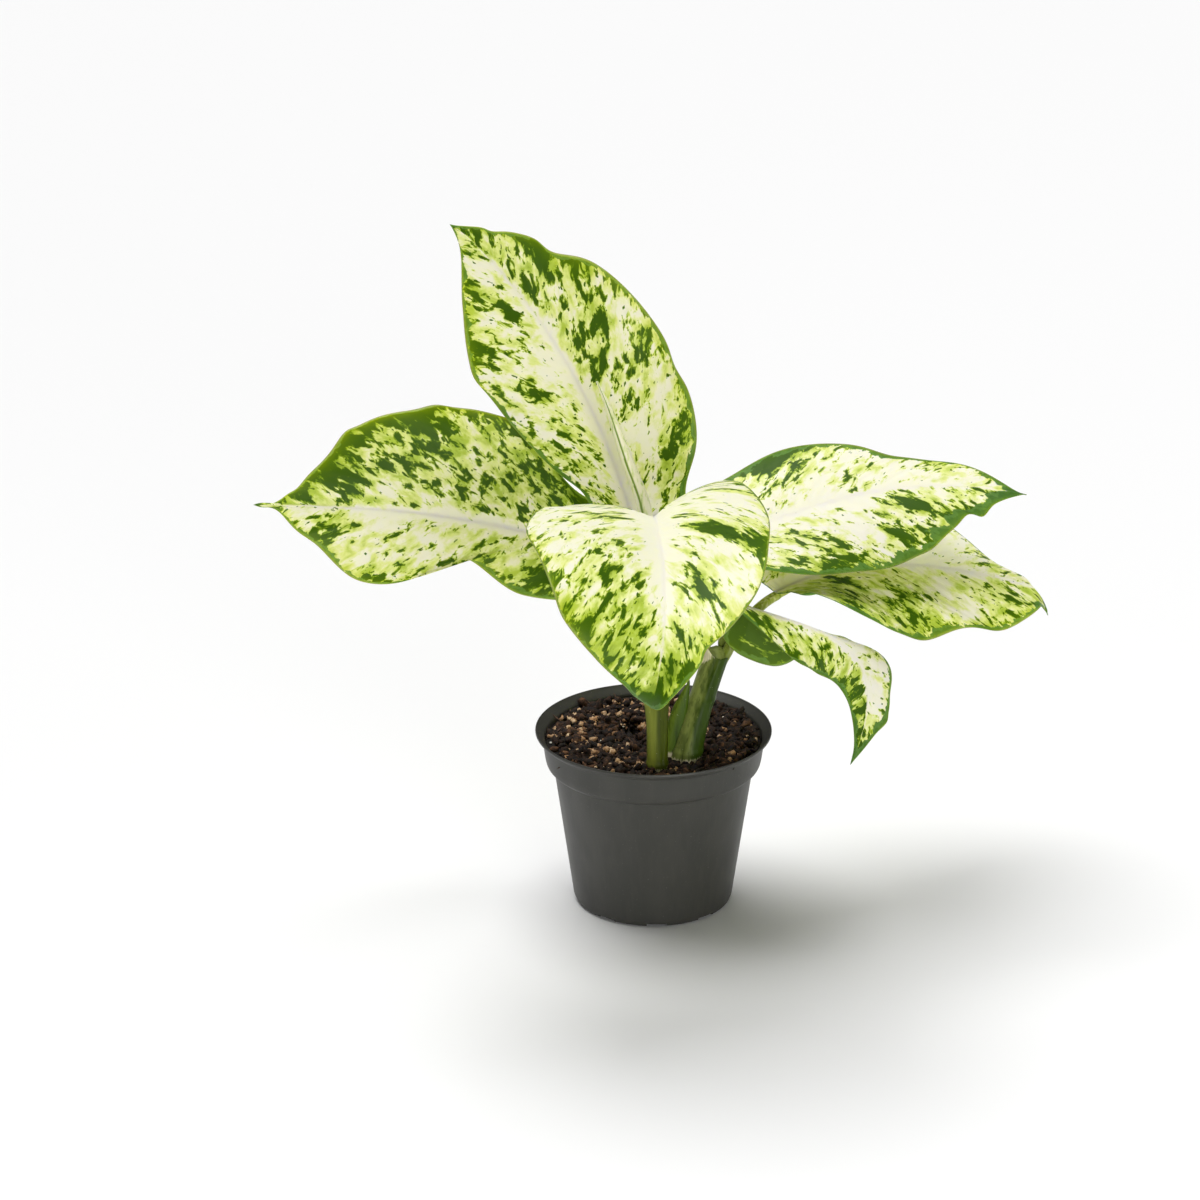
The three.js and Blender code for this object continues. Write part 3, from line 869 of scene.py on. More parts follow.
@dataclass(frozen=True)
class Half:
    """One half of a blade.

    Attributes:
        widths: Half widths at the nine stations between the ends of ALONG, mm.
        rise: How far the half is lifted at the base, middle and tip, degrees.
        curl: How far it bends from midrib to edge, at the base and at the tip, degrees.
        ruffle: Wave of the edge: its height in mm, number of waves and phase.
        bumps: Where the edge stands out from its smooth outline or, below 0, draws in: place from stalk to
            tip, amount in mm and spread.
        green: How green it is at the base, middle and tip; 0 is the usual mix.
        hem: Width of its green border at the base, middle and tip, mm.
        spots: Greener or, below 0, clearer places: place from stalk to tip, share of the way to the edge,
            half length along the side veins and half width in mm, and amount.
        flush: How much greener the half is towards its edge, and how far in that reaches, mm.
        tint: How yellow-green its ground is at the base, middle and tip, over what the green gives it.
    """

    widths: tuple[float, ...]
    rise: tuple[float, float, float]
    curl: tuple[float, float]
    ruffle: tuple[float, float, float]
    bumps: tuple[tuple[float, float, float], ...] = ()
    green: tuple[float, float, float] = (0.0, 0.0, 0.2)
    hem: tuple[float, float, float] = (2.0, 1.5, 2.0)
    spots: tuple[tuple[float, ...], ...] = ()
    flush: tuple[float, float] = (0.6, 5.0)
    tint: tuple[float, float, float] = (0.0, 0.0, 0.0)

    def width(self, q: Array) -> Array:
        """Half width at each place along the edge: a spline through the widths plus a bell for each bump.

        Args:
            q: Places from 0 at the leaf stalk to 1 at the tip.

        Returns:
            The half width at each place, mm.
        """
        smooth = splined((0, *self.widths, 0), q)
        bells = sum(amount * np.exp(-(((q - place) / spread) ** 2)) for place, amount, spread in self.bumps)
        return np.maximum(smooth + bells, 0)


@dataclass(frozen=True)
class Leaf:
    """A leaf: its blade, its stalk and the raised midrib under the blade.

    Attributes:
        name: The CAD node that the leaf stands for.
        rib: Control points of the midrib's curve, mm.
        facing: The way the upper side looks.
        lobe: Stretch of the base lobes.
        belly: Moves the widest place towards the tip.
        roll: Turn of the blade about its midrib at the base, middle and tip, degrees.
        left: The left half.
        right: The right half.
        foot: Where the leaf stalk leaves its stalk, mm.
        lean: Which way it leaves.
        reach: Length of the leaf stalk's handles at its foot and at the blade, mm.
        tail: How far the thin tip is bent away, mm.
        patch: Picks this leaf's part of the pattern.
        clear: Width of the cream band beside the midrib at the leaf's base, mm.
        slant: Angle between the blotches and the midrib, degrees.
        stretch: How many times longer than usual the blotches are.
        splay: How much more they turn outwards at the leaf's base: the tangent added to the slant there.
    """

    name: str
    rib: Bezier
    facing: tuple[float, float, float]
    lobe: float
    belly: float
    roll: tuple[float, float, float]
    left: Half
    right: Half
    foot: tuple[float, float, float]
    lean: tuple[float, float, float]
    reach: tuple[float, float]
    tail: tuple[float, float, float]
    patch: float
    clear: float
    slant: float = 32.0
    stretch: float = 1.0
    splay: float = 0.0
    rows: int = 181  # side veins in the mesh
    columns: int = 48  # points from midrib to edge
    fan: float = 1.5  # how strongly the side veins sweep towards the tip
    tail_start: float = 0.94  # where along the blade the thin tip starts
    thickness: float = 0.5  # mm
    rib_round: float = 2.2  # radius that softens the fold at the midrib, mm
    vein_spacing: float = 8.0  # mm
    vein_depth: float = 0.13  # mm
    splay_reach: float = 40.0  # how far along the midrib the splay fades, mm
    stalk_sides: int = 28
    stalk_rings: int = 44
    rib_rings: int = 60
    foot_radius: float = 2.8  # of the leaf stalk at its foot, mm
    foot_share: float = 0.6  # of that radius that is left at the very foot
    foot_taper: float = 0.18  # share of the leaf stalk over which its foot swells to its full radius
    blade_radius: float = 2.5  # of the leaf stalk where the blade starts, mm
    tip_radius: float = 0.35  # of the midrib under the tip, mm
    rib_end: float = 0.9  # how far along the blade the raised midrib reaches
    sink: float = 0.75  # how deep the leaf stalk meets the blade, as a share of its radius
    groove_depth: float = 0.3  # of the leaf stalk's groove, as a share of its radius
    groove_width: float = 0.55  # of the groove, radians round the leaf stalk

    def half(self, side: Side) -> Half:
        """The half on one side."""
        return self.left if side is Side.LEFT else self.right

    def axes(self, s: Array) -> tuple[Array, Array]:
        """Outward and upward directions of the blade: square to the midrib, turned about it by the roll.

        Args:
            s: Places along the midrib from 0 to 1.

        Returns:
            The two directions at each place, with one axis more than s.
        """
        tangent = self.rib.tangent(s)
        outward = unit(np.cross(tangent, np.asarray(self.facing, float)))
        upward = np.cross(outward, tangent)
        roll = np.radians(three_point(self.roll, s))[..., None]
        return np.cos(roll) * outward + np.sin(roll) * upward, np.cos(roll) * upward - np.sin(roll) * outward

    def spread(self, side: Side) -> tuple[Array, Array]:
        """Where the points of one half lie beside the straightened midrib.

        A point lies u * width(q) from the midrib, at root(q) + (along(q) - root(q)) * u^fan of its length.

        Args:
            side: Which half.

        Returns:
            The distances from the midrib in mm and the places along it from 0 to 1, shape (rows, columns).
        """
        q = np.linspace(0, 1, self.rows)[:, None]
        u = np.linspace(0, 1, self.columns)[None, :]
        along = splined(tuple(a**self.belly if a > 0 else a * self.lobe for a in ALONG), q)
        root = splined(ROOT, q)
        return u * self.half(side).width(q), root + (along - root) * u**self.fan

    def length(self) -> float:
        """Length of the midrib, mm."""
        return float(np.linalg.norm(np.diff(self.rib.at(np.linspace(0, 1, 41)), axis=0), axis=1).sum())

    def half_surface(self, side: Side) -> Array:
        """Middle surface of one half on a grid.

        A point lies beside the bent midrib at its distance times the cosine of the tilt. It is lifted by that
        distance, softened at the fold, times the sine. The tilt is the rise plus the curl times half the
        share of the greatest width. The edge waves as height * sin(2 pi (waves * q + phase)) * sin(pi q)
        * u^2, and between side veins the tissue is puffed up by a cosine of their place. The tip bends away
        by the tail times the square of how far into the thin tip a point lies.

        Args:
            side: Which half.

        Returns:
            Points from midrib to edge, shape (rows, columns, 3).
        """
        half = self.half(side)
        q = np.linspace(0, 1, self.rows)[:, None]
        u = np.linspace(0, 1, self.columns)[None, :]
        across, t = self.spread(side)
        s = np.clip(t, 0, 1)
        outward, upward = self.axes(s)
        first, second = (np.asarray(p, float) for p in self.rib.points[:2])
        tail = np.clip((s - self.tail_start) / (1 - self.tail_start), 0, 1)[..., None] ** 2
        centre = self.rib.at(s) + 3 * (second - first) * (t - s)[..., None] + np.asarray(self.tail) * tail
        bend = half.curl[0] * (1 - s) + half.curl[1] * s
        tilt = np.radians(three_point(half.rise, s) + bend * across / max(half.widths) / 2)
        height, waves, phase = half.ruffle
        wave = height * np.sin(2 * math.pi * (waves * q + phase)) * np.sin(math.pi * q) * u**2
        soft = np.sqrt(across**2 + self.rib_round**2) - self.rib_round
        row_place = self.vein_place(side)[:, None]
        puffed = np.cos(2 * math.pi * row_place / self.vein_spacing)
        veins = self.vein_depth * puffed * smooth_step(0, 6, across) * (1 - smooth_step(0.75, 1, u))
        lift = soft * np.sin(tilt) + wave - veins
        return centre + side.value * (across * np.cos(tilt))[..., None] * outward + lift[..., None] * upward

    def vein_place(self, side: Side) -> Array:
        """Place of each side vein along the half: the way from middle to middle, added up from the base.

        Args:
            side: Which half.

        Returns:
            The places, mm, shape (rows,).
        """
        q = np.linspace(0, 1, self.rows)
        width = self.half(side).width(q)
        step_along = np.diff((splined(ALONG, q) + splined(ROOT, q)) / 2) * self.length()
        steps = np.hypot(step_along, np.diff(width) * 0.5)
        return np.concatenate([[0], np.cumsum(steps)])

    def blade(self, material: bpy.types.Material) -> bpy.types.Object:
        """Builds the blade, with what its finish reads.

        Each face lies off the middle surface by half the thickness times sqrt(1 - u^6), so the edge is sharp.

        Args:
            material: Its finish.

        Returns:
            The blade's object.
        """
        halves = {side: self.half_surface(side) for side in Side}
        middle = np.concatenate([halves[Side.LEFT][:, :0:-1], halves[Side.RIGHT]], axis=1)
        u = np.abs(np.linspace(-1, 1, middle.shape[1]))[None, :, None]
        normal = unit(np.cross(np.gradient(middle, axis=1), np.gradient(middle, axis=0)))
        normal[0], normal[-1] = normal[1], normal[-2]
        normal *= np.sign((normal * self.axes(np.array([0.5]))[1][0]).sum())
        solid = self.thickness / 2 * np.sqrt(1 - u**6)
        skin = Skin.slab(middle + solid * normal, middle - solid * normal)
        piece = skin.piece(f"{self.name}_blade", material)
        self.note_pattern(piece, skin, halves)
        return piece

    def greenness(self, half: Half, out: Array, border: Array, place: Array, wander: Array) -> Array:
        """How green each point of a half is; 0 is the usual mix.

        It is the half's own green, less 1.6 (1 - q^4) exp(-(out / clear)^2) beside the midrib, where clear
        narrows towards the tip and wanders, plus the flush's amount times exp(-border / reach) towards the
        edge, plus amount * exp(-(off / long)^2 - (beside / wide)^2) round each spot.

        Args:
            half: The half.
            out: Distance of each point from the midrib along its side vein, mm.
            border: Distance from the edge, mm.
            place: Place of its side vein along the leaf, mm.
            wander: What the width of the clear band is multiplied by.

        Returns:
            The green value of each point.
        """
        q = np.linspace(0, 1, self.rows)[:, None]
        clear = self.clear * (1 - 0.8 * q) * wander
        green = three_point(half.green, q) - 1.6 * (1 - q**4) * np.exp(-((out / clear) ** 2))
        green = green + half.flush[0] * np.exp(-border / half.flush[1])
        for spot_q, share, long, wide, amount in half.spots:
            row = int(spot_q * (self.rows - 1))
            off = (out - share * out[row, -1]) / long
            green = green + amount * np.exp(-(off**2) - ((place - place[row, -1]) / wide) ** 2)
        return green

    def pattern(self, side: Side, middle: Array) -> dict[str, Array]:
        """What the finish reads on one half.

        The patch axes are the straightened blade turned by the slant. "down" runs with the blotches, outwards
        and towards the tip, and is divided by the stretch. "aside" runs across them; near the base it is
        shifted by -splay * reach * exp(-along / reach), and the right half by 140 mm against the left.

        Args:
            side: Which half.
            middle: Its middle surface.

        Returns:
            Name to values, each of shape (rows, columns).
        """
        half = self.half(side)
        q = np.linspace(0, 1, self.rows)[:, None]
        slant = math.radians(self.slant)
        steps = np.linalg.norm(np.diff(middle, axis=1), axis=2)
        out = np.concatenate([np.zeros((self.rows, 1)), np.cumsum(steps, axis=1)], axis=1)
        blend = smooth_step(0, 8, out)
        shared = (self.vein_place(Side.LEFT) + self.vein_place(Side.RIGHT)) / 2
        place = self.vein_place(side)[:, None] * blend + shared[:, None] * (1 - blend)
        border = 0.75 * (out[:, -1:] - out)
        across, along = self.spread(side)
        along = along * self.length()
        shift = -self.splay * self.splay_reach * np.exp(-along / self.splay_reach)
        wander = 1 + 0.5 * value_noise(along, across + 90 * side.value, 13, 6)
        rib_width = 2.0 * (1 - q) + 0.4 * q
        values = {
            "out": side.value * out,
            "place": place,
            "down": (across * math.sin(slant) + along * math.cos(slant)) / self.stretch,
            "aside": along * math.sin(slant) - across * math.cos(slant) + shift + 70 * side.value,
            "rib": out / rib_width + 3 * smooth_step(0.75, 0.95, q),
            "edge": border / three_point(half.hem, q),
            "green": self.greenness(half, out, border, place, wander),
            "tint": three_point(half.tint, q),
        }
        return {name: np.broadcast_to(value, out.shape) for name, value in values.items()}

    def note_pattern(self, piece: bpy.types.Object, skin: Skin, halves: dict[Side, Array]) -> None:
        """Stores what the blade's finish reads: two maps and the green, tint, rib, edge and under values.

        The vein map's axes are the distance along a side vein from the midrib and the side vein's place along
        the leaf. The patch map's axes are "down" and "aside". Both are in metres, moved by the leaf's patch.

        Args:
            piece: The blade's object.
            skin: Its surface.
            halves: Middle surface of each half.
        """
        left, right = (self.pattern(side, halves[side]) for side in Side)
        joined = {name: np.concatenate([left[name][:, :0:-1], right[name]], axis=1).ravel() for name in left}
        count = joined["out"].size
        upper = skin.source % count
        corner = np.array([self.patch, self.patch * 0.37])
        for map_name, axes in ((VEIN_MAP, ("out", "place")), (PATCH_MAP, ("down", "aside"))):
            places = np.stack([joined[axis] for axis in axes], -1)[upper]
            add_map(piece, map_name, places * MILLIMETRE + corner)
        for name in ("rib", "edge", "green", "tint"):
            add_values(piece, name, joined[name][upper])
        add_values(piece, "under", (skin.source >= count).astype(float))

    def stalk(self, material: bpy.types.Material) -> bpy.types.Object:
        """Builds the leaf stalk and the raised midrib: a tube with a groove along its upper side.

        Its path is a curve from the foot to the blade, sunk below the blade by sink * t^2 of its radius, and
        then the midrib's own curve, soon sunk by a whole radius, so that the rib shows on the underside only.
        At each angle from the upward direction the radius is r * (1 - depth * exp(-(angle / width)^2)).

        Args:
            material: Its finish.

        Returns:
            The object, with its foot value: 1 near the foot, 0 from its middle on.
        """
        foot, base = np.asarray(self.foot, float), self.rib.at(np.array(0.0))
        start = self.rib.tangent(np.array(0.0))
        rise = foot + unit(np.asarray(self.lean, float)) * self.reach[0]
        path = Bezier((tuple(foot), tuple(rise), tuple(base - start * self.reach[1]), tuple(base)))
        t = np.linspace(0, 1, self.stalk_rings, endpoint=False)
        radius = self.foot_radius + (self.blade_radius - self.foot_radius) * t
        radius *= self.foot_share + (1 - self.foot_share) * smooth_step(0, self.foot_taper, t)
        upward = np.broadcast_to(self.axes(np.array([0.0]))[1], (len(t), 3))
        middle = path.at(t) - (t**2 * self.sink * radius)[:, None] * upward
        s = np.linspace(0, self.rib_end, self.rib_rings)
        rib_radius = self.blade_radius + (self.tip_radius - self.blade_radius) * np.sqrt(s)
        rib_upward = self.axes(s)[1]
        rib_sink = self.sink + (1 - self.sink) * smooth_step(0, 0.05, s)
        rib_middle = self.rib.at(s) - (rib_sink * rib_radius)[:, None] * rib_upward
        centres = np.concatenate([middle, rib_middle])
        directions = np.concatenate([path.tangent(t), self.rib.tangent(s)])
        radii = np.concatenate([radius, rib_radius])
        groove = self.groove_depth * np.concatenate([np.ones_like(t), 1 - smooth_step(0, 0.1, s)])
        up = np.concatenate([upward, rib_upward])
        up = unit(up - (up * directions).sum(-1, keepdims=True) * directions)
        aside = np.cross(directions, up)
        angle = np.linspace(-math.pi, math.pi, self.stalk_sides, endpoint=False)
        swell = radii[:, None] * (1 - groove[:, None] * np.exp(-((angle / self.groove_width) ** 2)))
        rings = centres[:, None] + swell[..., None] * (
            np.cos(angle)[None, :, None] * up[:, None] + np.sin(angle)[None, :, None] * aside[:, None]
        )
        skin = Skin.tube(np.concatenate([rings[:1], rings, rings[-1:]]))
        piece = skin.piece(f"{self.name}_stalk", material)
        rows = np.minimum(np.maximum(skin.source // self.stalk_sides - 1, 0), len(rings) - 1)
        add_values(piece, "foot", 1 - smooth_step(0.1, 0.6, rows / self.stalk_rings))
        return piece

    def build(self, tissue: bpy.types.Material, flesh: bpy.types.Material) -> None:
        """Builds the leaf's two pieces and puts them in the frame.

        Args:
            tissue: Finish of the blade.
            flesh: Finish of the leaf stalk.
        """
        settle(self.blade(tissue), self.name)
        settle(self.stalk(flesh), self.name)


LEAVES = (
    Leaf(
        name="leaf_upright",
        rib=Bezier(((-10, -16, 208), (-24, 4, 253), (-47, 10, 306), (-99, 24, 352))),
        facing=(0, -1, 0.4),
        lobe=-0.4,
        belly=0.8,
        roll=(-5, -2, 0),
        left=Half(
            widths=(9, 18, 27, 38, 43, 41, 26, 9, 2),
            rise=(46, 28, 8),
            curl=(-20, -15),
            ruffle=(1.5, 3.5, 0.1),
            bumps=((0.31, -2.5, 0.03), (0.57, 1.5, 0.03)),
            green=(-0.4, -0.1, -0.4),
            hem=(5, 2.5, 1.2),
            spots=(
                (0.58, 0.47, 9, 4, 2.6),
                (0.63, 0.77, 9, 7, 1.6),
                (0.73, 0.4, 6, 3, 1.6),
                (0.33, 0.5, 9, 5, 1.2),
            ),
        ),
        right=Half(
            widths=(14, 30, 43, 49, 48, 40, 25, 10, 2),
            rise=(36, 22, 8),
            curl=(-20, -15),
            ruffle=(2.2, 5, 0.3),
            bumps=((0.26, -5, 0.05), (0.43, -2, 0.025), (0.665, -4.5, 0.03), (0.785, -1.5, 0.02)),
            green=(-0.1, 0.0, 0.3),
            hem=(6, 2, 2),
            spots=(
                (0.61, 0.57, 9, 5, 1.8),
                (0.59, 0.32, 10, 3.5, 2.3),
                (0.72, 0.85, 9, 10, 1.6),
                (0.52, 0.74, 9, 8, 1.2),
                (0.37, 0.6, 9, 8, 1.4),
            ),
            flush=(1.0, 6),
        ),
        foot=(-4, -24.5, 146),
        lean=(-0.05, 0.05, 1),
        reach=(25, 16),
        tail=(-2, 0, -0.5),
        patch=0.11,
        clear=8,
    ),
    Leaf(
        name="leaf_left",
        rib=Bezier(((-28, -4, 190), (-81, -14, 211), (-121, -28, 223), (-196, -34, 226))),
        facing=(0, -1, 0.5),
        lobe=0.4,
        belly=0.65,
        roll=(0, 7, 0),
        left=Half(
            widths=(16, 25, 31, 22, 34.5, 35, 17.5, 3, 1),
            rise=(20, 13, 10),
            curl=(-30, -15),
            ruffle=(2, 4, 0.2),
            bumps=((0.43, -4, 0.06), (0.75, 2.5, 0.04)),
            green=(0.7, 0.1, 0.1),
            hem=(3, 2, 1.2),
            spots=((0.5, 0.7, 9, 5, 0.8), (0.3, 0.6, 9, 8, 1.3), (0.72, 0.5, 9, 6, 0.9)),
            flush=(0.8, 4),
            tint=(1.8, 0.5, 0.5),
        ),
        right=Half(
            widths=(10, 20, 37, 54, 52, 43, 19, 2.5, 1),
            rise=(20, 20, 9),
            curl=(-30, -15),
            ruffle=(2, 5, 0.5),
            bumps=(
                (0.265, -4, 0.035),
                (0.36, 3, 0.03),
                (0.49, 2, 0.025),
                (0.64, 3, 0.02),
                (0.745, -1.5, 0.02),
            ),
            green=(1.2, 0.2, 0.2),
            hem=(0.8, 1, 1),
            spots=((0.43, 0.6, 14, 10, 0.9), (0.63, 0.6, 8, 4, 1.0)),
            flush=(1.9, 9),
            tint=(1.8, 0.3, 0.5),
        ),
        foot=(-4, -32, 124),
        lean=(-0.5, 0.05, 0.86),
        reach=(30, 16),
        tail=(-1, 0, 0),
        patch=0.53,
        clear=8,
    ),
    Leaf(
        name="leaf_front",
        rib=Bezier(((-1, -48, 225), (3, -114, 238), (7, -186, 225), (-3, -184, 182))),
        facing=(0, -0.25, 1),
        lobe=1.25,
        belly=0.7,
        roll=(-6, 3, 3),
        left=Half(
            widths=(18, 41, 53, 51, 45, 29, 18, 10, 6),
            rise=(31, 28, 20),
            curl=(-42, -15),
            ruffle=(1.6, 4, 0.4),
            bumps=((0.63, -3, 0.03),),
            green=(-0.1, -0.2, 1.2),
            hem=(0.7, 1.0, 2),
            spots=(
                (0.43, 0.5, 19, 6, 4.0),
                (0.58, 0.49, 9, 5, 2.4),
                (0.27, 0.5, 12, 4, 1.2),
                (0.95, 0.6, 6, 6, 2.2),
            ),
            flush=(1.0, 5),
            tint=(-0.6, 0.0, 2.6),
        ),
        right=Half(
            widths=(20, 45, 60, 66, 62, 50, 31, 15, 10),
            rise=(25, 31, 17),
            curl=(-34, -15),
            ruffle=(1.6, 4, 0.1),
            bumps=((0.3, -2, 0.03), (0.4, 2.5, 0.05), (0.6, 1, 0.03)),
            green=(0.2, -0.2, 1.2),
            hem=(1.0, 0.8, 2),
            spots=(
                (0.58, 0.49, 9, 4.5, 1.8),
                (0.64, 0.8, 7, 5, 0.8),
                (0.36, 0.45, 10, 4, 0.9),
                (0.95, 0.6, 6, 6, 2.2),
            ),
            flush=(0.9, 4),
            tint=(-0.6, 0.0, 2.6),
        ),
        foot=(-0.5, -34, 146),
        lean=(0, 0.05, 1),
        reach=(45, 10),
        tail=(0, 5, -3),
        patch=1.07,
        clear=15,
        slant=12,
        stretch=1.4,
        splay=1.4,
    ),
    Leaf(
        name="leaf_right_upper",
        rib=Bezier(((33, 8, 190), (78, 22, 205), (122, 42, 217), (188, 42, 203))),
        facing=(0, -0.5, 1),
        lobe=0.9,
        belly=0.8,
        roll=(6, -2, 3),
        left=Half(
            widths=(14, 28, 36, 43, 35, 22, 16, 7, 1),
            rise=(18, 7, -2),
            curl=(-23, -24),
            ruffle=(1.2, 4, 0.3),
            bumps=((0.56, -2.5, 0.03),),
            green=(0.8, -0.2, 0.3),
            hem=(10, 2.5, 5),
            spots=((0.38, 0.85, 13, 14, 2.6),),
        ),
        right=Half(
            widths=(15, 33, 43, 47, 45, 37, 20, 8, 1),
            rise=(30, 5, 1),
            curl=(-23, -26),
            ruffle=(1.2, 5, 0.2),
            bumps=((0.6, 1.5, 0.03), (0.7, -2.5, 0.02), (0.745, 4, 0.02)),
            green=(0.0, -0.2, 0.4),
            hem=(2, 4, 6),
            spots=(
                (0.42, 0.85, 10, 14, 1.4),
                (0.68, 0.47, 8, 4, 2.6),
                (0.59, 0.62, 7, 4, 2.2),
                (0.62, 0.35, 6, 4, 1.4),
            ),
            flush=(1.3, 5),
        ),
        foot=(1.5, -29, 133),
        lean=(0.4, 0.4, 0.82),
        reach=(28, 16),
        tail=(1, 0, 0),
        patch=1.61,
        clear=9,
    ),
    Leaf(
        name="leaf_right_lower",
        rib=Bezier(((61, 1, 166), (99, 31, 178), (156, 24, 173.5), (202, 50, 146))),
        facing=(0, -0.5, 1),
        lobe=0.2,
        belly=0.55,
        roll=(14, 0, 11),
        left=Half(
            widths=(16, 35, 45, 47, 44, 31, 18, 10, 6),
            rise=(21, 5, -13),
            curl=(-23, -26),
            ruffle=(1.5, 4, 0.1),
            bumps=((0.57, -1.5, 0.03),),
            green=(0.1, -0.5, 0.2),
            hem=(2, 0.8, 1.5),
            spots=((0.72, 0.4, 10, 4, 1.2),),
        ),
        right=Half(
            widths=(17, 36, 47, 48, 39, 34, 24, 11, 2),
            rise=(35, 8, -2),
            curl=(-22, -26),
            ruffle=(2, 5, 0.6),
            bumps=((0.33, 1, 0.03),),
            green=(0.2, 0.0, -0.1),
            hem=(2, 3, 1.5),
            spots=((0.44, 0.23, 12, 4, 2.0), (0.52, 0.38, 10, 4, 1.8), (0.47, 0.77, 10, 6, 0.9)),
            flush=(0.9, 5),
            tint=(2.2, 0.9, 0.3),
        ),
        foot=(34, -18.5, 134),
        lean=(0.25, 0.25, 0.93),
        reach=(16, 14),
        tail=(0.5, 0, -12),
        patch=2.23,
        clear=7,
    ),
    Leaf(
        name="leaf_drooping",
        rib=Bezier(((48, -24, 168), (95, -44, 160), (118, -38, 149), (99, -34, 87))),
        facing=(0.3, -0.7, 0.6),
        lobe=1.2,
        belly=0.95,
        roll=(48, 4, -3),
        left=Half(
            widths=(10, 22, 29, 28, 21, 21, 13, 5, 1),
            rise=(-78, -25, 3),
            curl=(-45, -20),
            ruffle=(1.2, 3, 0.2),
            bumps=((0.34, 4, 0.06), (0.5, -8, 0.07), (0.66, -2.5, 0.03), (0.735, 2, 0.02)),
            # The base lobe's dark green is partly its own colour and partly painted shade, as it hangs in
            # shadow.
            green=(5.5, 0.1, 1.0),
            hem=(4, 1.5, 6),
            spots=((0.5, 0.5, 9, 4, 0.9),),
            flush=(0.6, 5),
            tint=(2.8, 0.1, 0.8),
        ),
        right=Half(
            widths=(7, 14, 19, 21, 18, 14, 8, 3, 1),
            rise=(8, -12, 1),
            curl=(-24, -20),
            ruffle=(1, 3, 0.5),
            bumps=((0.42, -1, 0.03),),
            green=(0.1, 0.4, 1.0),
            hem=(2.5, 1.5, 6),
            spots=((0.3, 0.6, 8, 5, 1.2),),
            flush=(0.6, 5),
            tint=(0, 0.4, 0.8),
        ),
        foot=(34, -11, 134),
        lean=(0.05, 0.25, 0.96),
        reach=(20, 12),
        tail=(-1, 0, 0),
        patch=2.89,
        clear=4,
    ),
)


# ---- Stalks ---------------------------------------------------------------------------------------------

# The edge of an open sheath, ring by ring: share of the radius, share of the lip's height and drop in mm.
SHEATH_EDGE = (
    (1.0, 0.5, 0.0),
    (0.985, 0.95, 0.0),
    (0.95, 1.0, 0.0),
    (0.9, 0.8, 0.1),
    (0.84, 0.1, 0.3),
    (0.66, 0.0, -2.6),
    (0.36, 0.0, -5.0),
)

# A rounded end: how much the last ring shrinks and how far it is raised, as shares.
DOME = tuple((math.cos(a), math.sin(a)) for a in np.linspace(0.2, math.pi / 2, 7))


